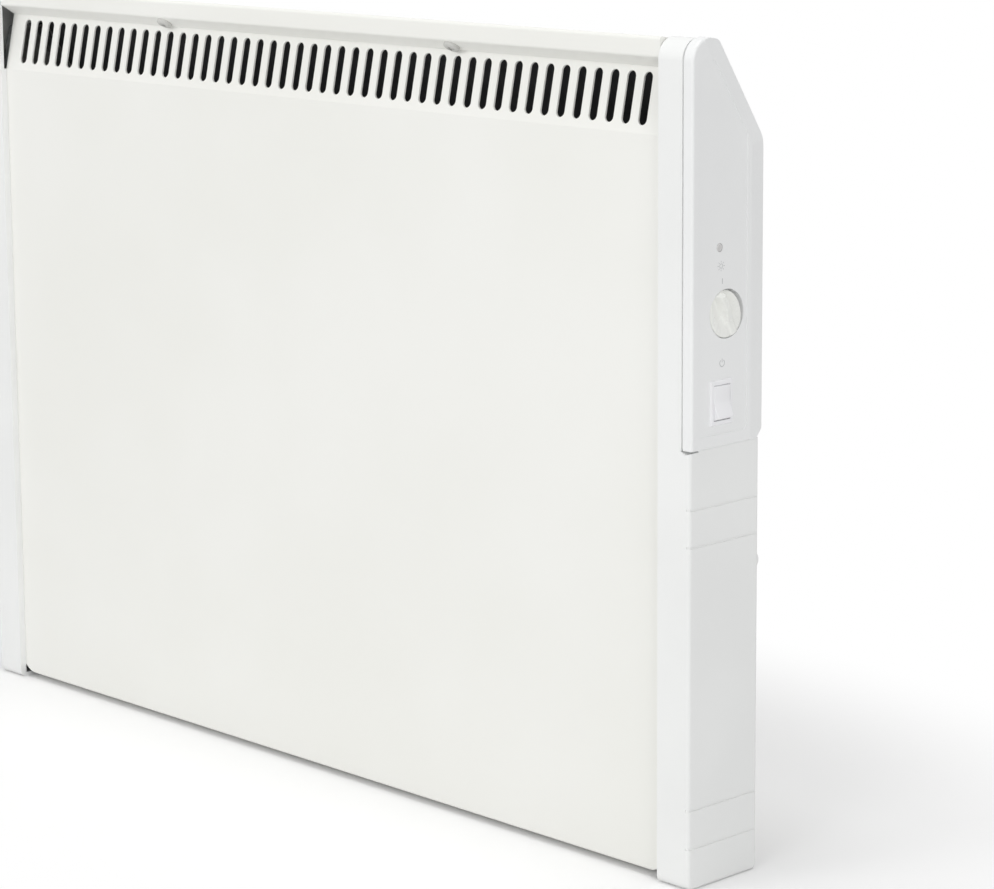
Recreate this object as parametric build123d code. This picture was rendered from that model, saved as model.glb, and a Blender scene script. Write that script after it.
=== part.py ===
from build123d import *
import math
import os

# Wall panel convector heater on its wall bracket, in millimetres.
#
# Frame: the origin is the centre of the wall screws, on the wall. +X is to the right as seen from the
# room, +Y goes into the wall and +Z is up. A place in the side view is given as a depth, behind the
# front plane of the end caps, and a height, above their feet.

# ---- driving dimensions ------------------------------------------------------------------------------

WIDTH = 545.0  # over both end caps
HEIGHT = 400.0
DEPTH = 48.0  # end caps, front to back
WALL_GAP = 24.0  # back of the end caps to the wall

# End caps, moulded
CAP_WIDTH = 20.0
CAP_WALL = 2.2
CAP_TOP_DEPTH = 17.5  # front plane to the knee of the sloping back
CAP_TOP_FALL = 3.4  # drop of the top from the front plane to that knee
CAP_SLOPE_FALL = 50.0  # foot of the sloping back, below the top
CAP_FOOT_RADIUS = 4.0
CAP_TOP_RADIUS = 9.5
CAP_KNEE_RADIUS = 5.0
CAP_BACK_RADIUS = 14.0
CAP_HEEL_RADIUS = 2.6
CAP_EDGE_RADIUS = 2.0
LIP_WALL = 1.6
GROOVE_HEIGHTS = (20.5, 39.2, 164.8, 182.4)
GROOVE_WIDTH = 1.1
GROOVE_DEPTH = 0.5
GROOVE_WRAP = 2.0
BOSS_RADIUS = 3.6
BOSS_FOOT = 60.0
BOSS_BELOW_HOUSING = 18.0
BOSS_DEPTH = 24.0

# Front panel and its outlet grille, sheet steel
SHEET = 1.0
SHEET_BEND = 1.6
HEM_BEND = 0.4
PANEL_RECESS = 3.8  # behind the front plane of the caps
PANEL_FOOT = 3.0
PANEL_CORNER = 16.0
PANEL_FLANGE = 12.0
PANEL_LAP = 5.0  # reach behind each end cap
GRILLE_FALL = 47.0  # bend at the grille's foot, below the top
GRILLE_LEAN = 12.0  # degrees from upright
SLOT_PITCH = 10.57
SLOT_MARGIN = 8.0  # end cap to the first slot's share of the row
SLOT_WIDTH = 5.5
SLOT_LENGTH = 24.7
SLOT_DROP = 31.1  # middles of the slots, below the top
HEM_FRONT = 3.4  # depth at which the panel's hidden top hem ends

# Top rail, sheet steel
RAIL_INSET = 1.2  # below the caps' top and behind their front plane
RAIL_FACE = 11.0  # foot of the rail's face, below the top
BAND_SLOPE = 31.5  # degrees from level, of the rail's underside
RAIL_TAIL = 14.0  # reach down the sloping back
RAIL_END_GAP = 0.2
RAIL_GRILLE_GAP = 0.3

# Back casing, sheet steel
CASING_SHEET = 0.8
CASING_FIT = 0.1
BACK_INSET = 2.4  # casing's back, in front of the caps' back
INLET_PITCH = 16.0
INLET_MARGIN = 8.0
INLET_WIDTH = 6.0
INLET_LENGTH = 20.0
BEAD_SPACING = 95.0
BEAD_DROP = 12.5  # middle of the beads below the middle of the back
BEAD_LENGTH = 180.0
BEAD_WIDTH = 12.0
BEAD_RISE = 1.4
BEAD_TAPER = 30.0  # degrees
FLANGE_GAP = 0.3

# End plates, sheet steel
PLATE_FIT = 0.1
PLATE_FLANGE = 14.0
PLATE_TOP = 23.0  # below the top
PLATE_CORNER = 2.6
GROMMET_RADIUS = 6.0
GROMMET_WALL = 1.5

# Heating element: a rod in a finned aluminium extrusion
ELEMENT_DEPTH = 22.0
ELEMENT_HEIGHT = 110.0
ELEMENT_END_ROOM = 31.5  # rod's end to the outside of the end plate
FIN_INSET = 25.0  # extrusion's end to the rod's end
HUB_RADIUS = 6.2
ROD_RADIUS = 4.0
ROD_FIT = 0.1
ARM_LENGTH = 30.0
ARM_SHEET = 1.4
ARM_ANGLE = 66.0
RIB_LENGTH = 9.0
RIB_COUNT = 3
RIB_START = 13.0
RIB_PITCH = 7.0
SEAL_RADIUS = 4.8
SEAL_LENGTH = 7.0
STUD_RADIUS = 1.6
STUD_LENGTH = 9.0
HANGER_INSET = 14.0  # hanger to the rod's end
HANGER_SHEET = 1.2
HANGER_WIDTH = 22.0
HANGER_RISE = 15.0
HANGER_FOOT = 12.0
BUSH_RADIUS = 7.0
BUSH_FLANGE = 8.6
BUSH_LENGTH = 9.0
BUSH_COLLAR = 3.0
STUD_NUT = 2.0

# Leads inside the casing
LEAD_RADIUS = 1.1
LEAD_TURN = 8.0
LEAD_RUN_HEIGHT = 14.0
WIRE_WAY_RADIUS = 4.0

# Heat shield between the element and the back
SHIELD_SHEET = 0.6
SHIELD_DEPTH = 38.5
SHIELD_FOOT = 40.0
SHIELD_TOP = 60.0  # below the top
SHIELD_FOOT_FLANGE = 12.0
SHIELD_SLOPE = 8.0
SHIELD_INSET = 9.0  # shield's end to the hanger

# Overheat cut-out over the element
CUTOUT_INSET = 35.0  # from the extrusion's end
CUTOUT_RISE = 42.0  # from the element's middle to the bracket's tongue
CUTOUT_RADIUS = 8.2
CUTOUT_BODY = 7.0
CUTOUT_CAP_RADIUS = 6.4
CUTOUT_CAP = 3.0
CUTOUT_SHEET = 1.0
CUTOUT_TONGUE = 22.0
CUTOUT_TONGUE_WIDTH = 20.0
CUTOUT_TAB = 12.0

# Control housing on the right-hand end
HOUSING_BELOW_SWITCH = 20.9
HOUSING_INSET = 5.2  # how far the housing is let into the end cap
HOUSING_PROUD = 1.8  # how far it stands out of the end cap
HOUSING_FRONT = 0.6  # overhang at the front and the top
HOUSING_REAR = 0.9  # overhang at the back
HOUSING_WALL = 2.0
HOUSING_CORNER = 10.5
HOUSING_HEEL = 4.5
HOUSING_EDGE = 1.4
PARTING = 1.4  # width of the groove where the housing meets the cap
PARTING_SINK = 1.5
BEVEL_WIDTH = 9.4
BEVEL_FALL = 1.5
FIELD_FRONT = 3.4
FIELD_REAR = 36.8
FIELD_BORDER = 6.0
FIELD_TOP_BORDER = 12.0
FIELD_KNEE_DEPTH = 14.0
FIELD_KNEE_RISE = 3.0  # above the cap's own knee
FIELD_SINK = 0.35
FIELD_RADIUS = 3.0
NOTCH_HEIGHT = 1.9
NOTCH_REACH = 6.0

# Knob and thermostat
KNOB_DEPTH = 23.0
KNOB_BELOW_TOP = 128.4
WELL_RADIUS = 11.5
WELL_SINK = 4.2
KNOB_RADIUS = 10.3
KNOB_FLOOR_GAP = 0.4
KNOB_TURN = 28.0  # degrees that the grip's top leans to the front
KNOB_DISC = 3.6
GRIP_RISE = 1.9
GRIP_WIDTH = 5.0
GRIP_FOOT_WIDTH = 7.4
SCOOP_RADIUS = 14.0
SCOOP_SINK = 1.1
SCOOP_SHARE = 0.42  # of its radius, from the grip's foot to its axis
KNOB_EDGE = 0.8
SPINDLE_RADIUS = 3.0
SPINDLE_FIT = 0.05
SPINDLE_END_GAP = 0.2
POT_SIZE = 12.0

# Rocker switch
SWITCH_DEPTH = 19.2
SWITCH_BELOW_KNOB = 40.7
SWITCH_FRAME = (15.0, 21.0)
SWITCH_RIM = 0.5
SWITCH_FLANGE = 1.0
SWITCH_BODY = (12.6, 18.6)
SWITCH_REACH = 11.5
ROCKER_SIZE = (10.4, 15.2)
ROCKER_GAP = 0.35
ROCKER_END_GAP = 0.75
ROCKER_RISE = 1.6  # above the frame at both ends, at mid throw
ROCKER_VALLEY = 0.2
ROCKER_CHEEK = 3.2
ROCKER_FOOT = (3.0, 4.0)
ROCKER_POCKET = 5.2
ROCKER_AXIS_SINK = 1.4  # pins below the housing's face
PIN_REACH = 0.9
ROCKER_ANGLE = 9.0  # half of the rocker's throw, in degrees
ROCKER_PIN = 1.2
ROCKER_FIT = 0.05
BLADE = (4.8, 0.8, 7.0)

# Indicator light
LENS_DEPTH = 18.1
LENS_ABOVE_KNOB = 31.0
LENS_RADIUS = 2.0
LENS_FIT = 0.05
LENS_LENGTH = 6.2
LENS_RISE = 0.3
LENS_DOME = 0.6

# Control module inside the right-hand cap
TRAY_FRONT = 5.0
TRAY_REAR = 43.0
TRAY_RISE = 4.0  # above the housing's foot
TRAY_REACH = 9.5
TRAY_FLANGE = 1.6
TRAY_WALL = 1.5
TRAY_FIT = 0.2
POST_RADIUS = 2.6
BOARD_SHEET = 1.6
BOARD_FRONT = 8.0
BOARD_REAR = 40.0
BOARD_GAP = 5.7  # switch body to the board's lower edge
BOARD_ABOVE_KNOB = 58.0
BOARD_SCREW_HEAD = 1.4
BOARD_STAND = 3.5
BOARD_POST_INSET = 4.0
RELAY = (6.0, 14.0, 18.0)
RELAY_GAP = 5.5  # from the light pipe's middle
DROPPER = (5.8, 18.0, 9.0)
DROPPER_GAP = 15.5  # from the knob's middle
SMOOTHER_RADIUS = 4.0
SMOOTHER_DEPTH = 27.0
SMOOTHER_RISE = 6.0  # above the board's lower edge
BLOCK_SIZE = (11.0, 11.0, 24.0)
BLOCK_WAYS = 3
BLOCK_DEPTH = 31.6
BLOCK_RISE = 5.0  # foot above the tray's foot
BLOCK_HOLE_RADIUS = 2.2
BLOCK_HOLE_SINK = 4.0
LEAD_RISE = 13.0  # leads' bend through the grommet to the block's foot

# Cable inlet at the back of the right-hand cap
GLAND_PLACE = 8.6  # from the right-hand side
GLAND_HEIGHT = 150.0
GLAND_BORE = 3.8
GLAND_RADIUS = 5.2
GLAND_FLANGE = 6.5
GLAND_FLANGE_SHEET = 1.6
GLAND_NOSE = 2.8
GLAND_NOSE_WALL = 0.8
GLAND_COLLAR = 6.0
GLAND_INNER = 5.0
GLAND_FIT = 0.1

# Wall bracket, sheet steel
SCREW_SPACING_X = 260.0
SCREW_SPACING_Z = 200.0
SCREW_HOLE_RADIUS = 2.75
BRACKET_SHEET = 1.5
BRACKET_BEND = 2.2
CHANNEL_WIDTH = 34.0
CHANNEL_LENGTH = 270.0
CHANNEL_GAP = 0.3
BAR_WIDTH = 26.0
BAR_LENGTH = 316.0
HOOK_SPACING = 200.0
HOOK_DROP = 10.0  # middle of the hooks below the middle of the bracket
HOOK_NECK = 5.0
HOOK_TIP = 9.0
HOOK_SHEET = 2.0
HOOK_PLAY = 0.3
LIFT = 12.0
HOOK_SLOT_WIDTH = 4.5
RIVET_RADIUS = 2.0
RIVET_HEAD_RADIUS = 3.6
RIVET_HEAD = 1.2
RIVET_OFFSET = 8.0
RIVET_FIT = 0.05
HOLE_TOOL = 6 * BRACKET_SHEET

# Screws
SCREW_RADIUS = 1.5
SCREW_FIT = 0.1
SCREW_HEAD_RADIUS = 3.4
SCREW_HEAD = 1.8
SCREW_REACH = 5.0
BAND_SCREW_STEPS = 21  # slots between the two screws
BAND_SCREW_HEAD = 4.2
BAND_SCREW_HEAD_RISE = 2.2
CASING_SCREW_FOOT = 70.0
CASING_SCREW_TOP = 80.0  # below the top
CASING_SCREW_EDGE = 0.5  # head to the end cap

# ---- frame -------------------------------------------------------------------------------------------

OVER = 1.0  # how far a cutting shape runs past the surface it cuts
X_RIGHT = WIDTH / 2
X_INNER = WIDTH / 2 - CAP_WIDTH  # inner side of each end cap, from the middle
Y_FRONT = -(WALL_GAP + DEPTH)
Z_FOOT = -HEIGHT / 2
CASING_BACK = DEPTH - BACK_INSET  # depth of the casing's outer back face
CASING_INNER = CASING_BACK - CASING_SHEET
CAP_KNEE_HEIGHT = HEIGHT - CAP_TOP_FALL
SLOPE_FOOT = HEIGHT - CAP_SLOPE_FALL  # height at which the back starts to slope
SLOPE = (DEPTH - CAP_TOP_DEPTH) / (CAP_KNEE_HEIGHT - SLOPE_FOOT)
SLOPE_STRETCH = math.hypot(1, SLOPE)
LEAN = math.tan(math.radians(GRILLE_LEAN))
BAND = math.tan(math.radians(BAND_SLOPE))
BAND_STRETCH = math.hypot(1, BAND)
PLATE_PLACE = X_INNER + PANEL_LAP  # outer face of each end plate, from the middle
CASING_SCREW_X = X_INNER - SCREW_HEAD_RADIUS - CASING_SCREW_EDGE
LEAD_X = X_RIGHT - GLAND_PLACE  # where the leads rise into the module

GRILLE_FOOT = HEIGHT - GRILLE_FALL
SLOT_MIDDLE = HEIGHT - SLOT_DROP
SLOT_COUNT = int((2 * X_INNER - 2 * SLOT_MARGIN) / SLOT_PITCH)
INLET_COUNT = int((2 * X_INNER - 2 * INLET_MARGIN) / INLET_PITCH)
RAIL_FACE_FOOT = HEIGHT - RAIL_FACE

KNOB_HEIGHT = HEIGHT - KNOB_BELOW_TOP
SWITCH_HEIGHT = KNOB_HEIGHT - SWITCH_BELOW_KNOB
LENS_HEIGHT = KNOB_HEIGHT + LENS_ABOVE_KNOB
HOUSING_FOOT = SWITCH_HEIGHT - HOUSING_BELOW_SWITCH
BOARD_FOOT = SWITCH_HEIGHT + SWITCH_BODY[1] / 2 + BOARD_GAP
BOARD_TOP = KNOB_HEIGHT + BOARD_ABOVE_KNOB
TRAY_FOOT = HOUSING_FOOT + TRAY_RISE
TRAY_TOP = BOARD_TOP + BOARD_POST_INSET
BLOCK_FOOT = TRAY_FOOT + BLOCK_RISE
GROMMET_HEIGHT = BLOCK_FOOT - LEAD_RISE
BOSS_HEIGHTS = (BOSS_FOOT, HOUSING_FOOT - BOSS_BELOW_HOUSING)
CASING_SCREW_HEIGHTS = (CASING_SCREW_FOOT, HEIGHT - CASING_SCREW_TOP)
HOOK_HEIGHTS = (HEIGHT / 2 - HOOK_DROP - HOOK_SPACING / 2, HEIGHT / 2 - HOOK_DROP + HOOK_SPACING / 2)
BEAD_HEIGHTS = (HEIGHT / 2 - BEAD_DROP - BEAD_SPACING / 2, HEIGHT / 2 - BEAD_DROP + BEAD_SPACING / 2)

ROD_END = PLATE_PLACE - ELEMENT_END_ROOM
FIN_END = ROD_END - FIN_INSET
HANGER_PLACE = ROD_END - HANGER_INSET
SHIELD_END = HANGER_PLACE - SHIELD_INSET
CUTOUT_PLACE = FIN_END - CUTOUT_INSET
CUTOUT_HEIGHT = ELEMENT_HEIGHT + CUTOUT_RISE
CUTOUT_DEPTH = SHIELD_DEPTH - SHIELD_SHEET - CUTOUT_TONGUE + CUTOUT_TONGUE_WIDTH / 2

STEP_FACE = X_RIGHT - HOUSING_INSET  # X of the cap's face behind the housing
HOUSING_FACE = X_RIGHT + HOUSING_PROUD
FIELD_FACE = HOUSING_FACE - FIELD_SINK
TRAY_FLOOR = STEP_FACE - TRAY_REACH + TRAY_WALL
BOARD_BACK = TRAY_FLOOR + BOARD_STAND
BOARD_FACE = BOARD_BACK + BOARD_SHEET
WELL_FLOOR = HOUSING_FACE - WELL_SINK
KNOB_BACK = WELL_FLOOR + KNOB_FLOOR_GAP
SPINDLE_END = KNOB_BACK + 2 * KNOB_DISC / 3
ROCKER_AXIS = FIELD_FACE - ROCKER_AXIS_SINK  # X of the rocker's pins


def y_at(depth):
    return Y_FRONT + depth


def z_at(height):
    return Z_FOOT + height


def slope_depth(height, inset=0.0):
    """Depth of the sloping back at a height, moved inwards by inset."""
    return CAP_TOP_DEPTH + (CAP_KNEE_HEIGHT - height) * SLOPE - inset * SLOPE_STRETCH


def grille_depth(height, inset=0.0):
    """Depth of the leaning grille's face at a height, moved inwards by inset."""
    return PANEL_RECESS + (height - GRILLE_FOOT) * LEAN + inset * math.hypot(1, LEAN)


def band_height(depth, rise=0.0):
    """Height of the top rail's sloping underside at a depth, raised square to itself by rise."""
    return RAIL_FACE_FOOT - (depth - RAIL_INSET) * BAND + rise * BAND_STRETCH


def band_meets_grille(inset, rise):
    """Height at which the raised underside meets the grille's face moved inwards by inset."""
    start = grille_depth(GRILLE_FOOT, inset) - GRILLE_FOOT * LEAN
    level = RAIL_FACE_FOOT - (start - RAIL_INSET) * BAND + rise * BAND_STRETCH
    return level / (1 + LEAN * BAND)


# ---- building blocks ---------------------------------------------------------------------------------


def side_points(places):
    return [(y_at(depth), z_at(height)) for depth, height in places]


def slab(outline, x_start, x_end):
    """A flat outline of the side view, drawn out along X."""
    return extrude(Plane.YZ.offset(x_start) * outline, x_end - x_start)


def outline(places, radii):
    return make_face(FilletPolyline(*side_points(places), radius=radii, close=True))


def bent_sheet(places, thickness, radii, x_start, x_end):
    """A bent sheet: its outer path in the side view, with the sheet on the path's right-hand side."""
    path = FilletPolyline(*side_points(places), radius=radii)
    return slab(make_face(offset(path, amount=thickness, side=Side.RIGHT, closed=True)), x_start, x_end)


def block(x_span, depth_span, height_span):
    """A box between two limits each way."""
    size = [span[1] - span[0] for span in (x_span, depth_span, height_span)]
    middle = (sum(x_span) / 2, y_at(sum(depth_span) / 2), z_at(sum(height_span) / 2))
    return Pos(*middle) * Box(*size)


def rod_x(x_span, radius, depth, height):
    return Pos(sum(x_span) / 2, y_at(depth), z_at(height)) * Rot(0, 90, 0) * Cylinder(
        radius, x_span[1] - x_span[0]
    )


def rod_y(depth_span, radius, x, height):
    return Pos(x, y_at(sum(depth_span) / 2), z_at(height)) * Rot(90, 0, 0) * Cylinder(
        radius, depth_span[1] - depth_span[0]
    )


def screw(head_radius, head, reach, clear=0.0):
    """A pan-head screw standing on its head's seat: shank down, head up."""
    top = Pos(0, 0, head / 2) * Cylinder(head_radius + clear, head)
    return top + Pos(0, 0, -reach / 2) * Cylinder(SCREW_RADIUS + clear, reach)


def mirrored(shape):
    return mirror(shape, Plane.YZ)


# ---- end caps ----------------------------------------------------------------------------------------


def cap_outline():
    places = [
        (0, 0),
        (0, HEIGHT),
        (CAP_TOP_DEPTH, CAP_KNEE_HEIGHT),
        (DEPTH, SLOPE_FOOT),
        (DEPTH, 0),
    ]
    radii = [CAP_FOOT_RADIUS, CAP_TOP_RADIUS, CAP_KNEE_RADIUS, CAP_BACK_RADIUS, CAP_HEEL_RADIUS]
    return outline(places, radii)


def plain_right_cap():
    """The right-hand cap without its control opening."""
    shell = slab(cap_outline(), X_INNER, X_RIGHT)
    rim = shell.faces().sort_by(Axis.X)[-1].edges()
    shell = fillet(rim, CAP_EDGE_RADIUS)
    hollow = offset(cap_outline(), amount=-CAP_WALL)
    shell -= slab(hollow, X_INNER - OVER, X_RIGHT - CAP_WALL)
    # The lip beside the panel stops below the grille, where the cap's hollow shows.
    shell += block((X_INNER, X_INNER + LIP_WALL), (CAP_WALL / 2, PANEL_RECESS), (CAP_WALL, GRILLE_FOOT))
    for height in BOSS_HEIGHTS:
        boss = rod_x((PLATE_PLACE, X_RIGHT - CAP_WALL / 2), BOSS_RADIUS, BOSS_DEPTH, height)
        pilot = rod_x((PLATE_PLACE - OVER, PLATE_PLACE + SCREW_REACH), SCREW_RADIUS, BOSS_DEPTH, height)
        shell = shell + boss - pilot
    for height in GROOVE_HEIGHTS:
        span = (height - GROOVE_WIDTH / 2, height + GROOVE_WIDTH / 2)
        shell -= block((X_RIGHT - GROOVE_DEPTH, X_RIGHT + OVER), (-OVER, DEPTH + OVER), span)
        shell -= block((X_RIGHT - GROOVE_WRAP, X_RIGHT + OVER), (-OVER, GROOVE_DEPTH), span)
    return shell


def left_end_cap():
    return mirrored(plain_right_cap())


def right_end_cap():
    """The right-hand cap, let in for the control housing and open behind it for the module."""
    shell = plain_right_cap()
    inner = offset(cap_outline(), amount=-CAP_WALL / 2)
    shelf_span = (HOUSING_FOOT - CAP_WALL, HOUSING_FOOT)
    step = slab(inner, STEP_FACE - CAP_WALL, X_RIGHT - CAP_WALL / 2)
    step &= block((X_INNER, X_RIGHT), (0, DEPTH), (shelf_span[0], HEIGHT))
    step -= block((STEP_FACE, X_RIGHT), (-OVER, DEPTH + OVER), (HOUSING_FOOT, HEIGHT + OVER))
    shell += step
    shell -= block((STEP_FACE, X_RIGHT + OVER), (-OVER, DEPTH + OVER), (HOUSING_FOOT, HEIGHT + OVER))
    shell -= block(
        (X_INNER, X_RIGHT),
        (TRAY_FRONT - TRAY_FIT, TRAY_REAR + TRAY_FIT),
        (TRAY_FOOT - TRAY_FIT, TRAY_TOP + TRAY_FIT),
    )
    # Screwdriver notch in the front corner, under the housing.
    corner = [
        (X_RIGHT - NOTCH_REACH, z_at(HOUSING_FOOT)),
        (X_RIGHT + OVER, z_at(HOUSING_FOOT)),
        (X_RIGHT + OVER, z_at(HOUSING_FOOT - NOTCH_HEIGHT / 3)),
        (X_RIGHT - NOTCH_REACH / 2, z_at(HOUSING_FOOT - NOTCH_HEIGHT)),
    ]
    wedge = Plane.XZ.offset(-y_at(-OVER)) * make_face(Polyline(*corner, close=True))
    shell -= extrude(wedge, -(NOTCH_REACH + OVER))
    shell -= rod_y((DEPTH - CAP_WALL - OVER, DEPTH + OVER), GLAND_RADIUS + GLAND_FIT, LEAD_X, GLAND_HEIGHT)
    return shell


# ---- casing ------------------------------------------------------------------------------------------


def grille_slots():
    lean = math.radians(GRILLE_LEAN)
    middle = (0, y_at(grille_depth(SLOT_MIDDLE)), z_at(SLOT_MIDDLE))
    face = Plane(middle, x_dir=(1, 0, 0), z_dir=(0, -math.cos(lean), math.sin(lean)))
    slot = SlotOverall(SLOT_LENGTH, SLOT_WIDTH, rotation=90)
    row = Sketch() + GridLocations(SLOT_PITCH, 1, SLOT_COUNT, 1) * slot
    return extrude(face * row, 3 * SHEET, both=True)


def band_plane(x):
    """Plane on the top rail's underside, facing out, over the middle of the underside."""
    middle_depth = (RAIL_INSET + grille_depth(band_meets_grille(0, 0))) / 2
    slope = math.radians(BAND_SLOPE)
    place = (x, y_at(middle_depth), z_at(band_height(middle_depth)))
    return Plane(place, x_dir=(1, 0, 0), z_dir=(0, -math.sin(slope), -math.cos(slope)))


def band_screws(clear=0.0):
    pair = [
        band_plane(side * BAND_SCREW_STEPS * SLOT_PITCH / 2).location
        * screw(BAND_SCREW_HEAD, BAND_SCREW_HEAD_RISE, SCREW_REACH, clear)
        for side in (-1, 1)
    ]
    return Part() + pair


def front_panel():
    """Panel, leaning grille and hidden top hem, bent from one sheet."""
    hem_foot = band_meets_grille(0, SHEET)
    hem_front = (HEM_FRONT, band_height(HEM_FRONT, SHEET))
    places = [
        (PANEL_RECESS + PANEL_FLANGE, PANEL_FOOT),
        (PANEL_RECESS, PANEL_FOOT),
        (PANEL_RECESS, GRILLE_FOOT),
        (grille_depth(hem_foot), hem_foot),
        hem_front,
    ]
    reach = X_INNER + PANEL_LAP
    panel = bent_sheet(places, SHEET, (SHEET_BEND, SHEET_BEND, HEM_BEND), -reach, reach)
    panel -= grille_slots()
    panel -= band_screws(SCREW_FIT)
    # Beside the grille the sheet stops at the caps; its bottom corners are rounded off.
    side_cut = block((X_INNER, reach + OVER), (0, DEPTH), (GRILLE_FOOT, HEIGHT))
    corner_x = reach - PANEL_CORNER
    corner_height = PANEL_FOOT + PANEL_CORNER
    corner = block((corner_x, reach + OVER), (0, DEPTH), (PANEL_FOOT - OVER, corner_height))
    side_cut += corner - rod_y((-OVER, DEPTH + OVER), PANEL_CORNER, corner_x, corner_height)
    return panel - side_cut - mirrored(side_cut)


def top_rail():
    """Visor over the grille: sloping underside, face, top and a tail down the sloping back."""
    tail_height = CAP_KNEE_HEIGHT - RAIL_TAIL
    back_foot = band_meets_grille(0, 0)
    under_depth = grille_depth(back_foot)
    top_slope = CAP_TOP_FALL / CAP_TOP_DEPTH
    knee_height = CAP_KNEE_HEIGHT - RAIL_INSET
    places = [
        (under_depth, band_height(under_depth)),
        (RAIL_INSET, RAIL_FACE_FOOT),
        (RAIL_INSET, knee_height + (CAP_TOP_DEPTH - RAIL_INSET) * top_slope),
        (slope_depth(knee_height, RAIL_INSET), knee_height),
        (slope_depth(tail_height, RAIL_INSET), tail_height),
    ]
    reach = X_INNER - RAIL_END_GAP
    rail = bent_sheet(places, SHEET, SHEET_BEND, -reach, reach)
    top_height = back_foot + SHEET_BEND
    foot_height = back_foot - SHEET_BEND
    behind_grille = [
        (grille_depth(foot_height, -RAIL_GRILLE_GAP), foot_height),
        (grille_depth(top_height, -RAIL_GRILLE_GAP), top_height),
        (grille_depth(top_height) + SHEET_BEND, top_height),
        (grille_depth(foot_height) + SHEET_BEND, foot_height),
    ]
    rail -= slab(make_face(Polyline(*side_points(behind_grille), close=True)), -X_INNER, X_INNER)
    return rail - band_screws(SCREW_FIT)


def inlet_slots():
    middle_depth = (CASING_BACK + PANEL_RECESS + PANEL_FLANGE) / 2
    floor = Plane((0, y_at(middle_depth), z_at(PANEL_FOOT)), x_dir=(1, 0, 0), z_dir=(0, 0, 1))
    slot = SlotOverall(INLET_LENGTH, INLET_WIDTH, rotation=90)
    row = Sketch() + GridLocations(INLET_PITCH, 1, INLET_COUNT, 1) * slot
    return extrude(floor * row, 3 * SHEET, both=True)


def hook_places():
    """Middle of each hook across X, and the height on which the casing hangs there."""
    x = SCREW_SPACING_X / 2 + CHANNEL_WIDTH / 2 - BRACKET_SHEET / 2
    return [(side * x, height) for side in (-1, 1) for height in HOOK_HEIGHTS]


def hook_slots():
    drop = HOOK_NECK + LIFT + HOOK_PLAY
    cuts = [
        block(
            (x - HOOK_SLOT_WIDTH / 2, x + HOOK_SLOT_WIDTH / 2),
            (CASING_INNER - OVER, CASING_BACK + OVER),
            (height - drop, height),
        )
        for x, height in hook_places()
    ]
    return Part() + cuts


def beads():
    """Stiffening beads pressed outwards in the back, each a hollow ridge with rounded ends."""
    ridge = SlotOverall(BEAD_LENGTH, BEAD_WIDTH)
    groove = SlotOverall(BEAD_LENGTH - 2 * CASING_SHEET, BEAD_WIDTH - 2 * CASING_SHEET)
    back = Plane((0, y_at(CASING_BACK), 0), x_dir=(1, 0, 0), z_dir=(0, 1, 0))
    outer = Part()
    inner = Part()
    for height in BEAD_HEIGHTS:
        place = back.location * Pos(0, -z_at(height), 0)
        outer += extrude(place * ridge, BEAD_RISE, taper=BEAD_TAPER)
        inner += extrude(place * Pos(0, 0, -CASING_SHEET) * groove, BEAD_RISE, taper=BEAD_TAPER)
    return outer, inner


def casing_screw_places():
    return [(side * CASING_SCREW_X, height) for side in (-1, 1) for height in CASING_SCREW_HEIGHTS]


def casing_screws(clear=0.0):
    """Screws through the casing's back into the end plates' flanges."""
    back = Plane((0, y_at(CASING_BACK), 0), x_dir=(1, 0, 0), z_dir=(0, 1, 0))
    shapes = [
        back.location * Pos(x, -z_at(height), 0) * screw(SCREW_HEAD_RADIUS, SCREW_HEAD, SCREW_REACH, clear)
        for x, height in casing_screw_places()
    ]
    return Part() + shapes


def rear_casing():
    """Sloping back, upright back with hanging slots, and the floor with the air inlet slots."""
    inset = RAIL_INSET + SHEET + CASING_FIT
    top_height = CAP_KNEE_HEIGHT - 2 * SHEET_BEND
    bend_height = CAP_KNEE_HEIGHT - (CASING_BACK - CAP_TOP_DEPTH + inset * SLOPE_STRETCH) / SLOPE
    places = [
        (slope_depth(top_height, inset), top_height),
        (CASING_BACK, bend_height),
        (CASING_BACK, PANEL_FOOT),
        (PANEL_RECESS + PANEL_FLANGE + FLANGE_GAP, PANEL_FOOT),
    ]
    reach = X_INNER + PANEL_LAP
    casing = bent_sheet(places, CASING_SHEET, (CAP_BACK_RADIUS, SHEET_BEND), -reach, reach)
    ridges, grooves = beads()
    casing = casing + ridges - grooves
    return casing - inlet_slots() - hook_slots() - casing_screws(SCREW_FIT)


def plate_outline():
    front = PANEL_RECESS + SHEET + PLATE_FIT
    back = CASING_INNER - PLATE_FIT
    inset = RAIL_INSET + SHEET + CASING_FIT + CASING_SHEET + PLATE_FIT
    knee = CAP_KNEE_HEIGHT - (back - CAP_TOP_DEPTH + inset * SLOPE_STRETCH) / SLOPE
    foot = PANEL_FOOT + SHEET + PLATE_FIT
    top = HEIGHT - PLATE_TOP
    places = [
        (front, foot),
        (front, GRILLE_FOOT),
        (grille_depth(top, SHEET + PLATE_FIT), top),
        (slope_depth(top, inset), top),
        (back, knee),
        (back, foot),
    ]
    radii = [PLATE_CORNER, PLATE_CORNER, PLATE_CORNER, PLATE_CORNER, CAP_BACK_RADIUS, PLATE_CORNER]
    return outline(places, radii)


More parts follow.
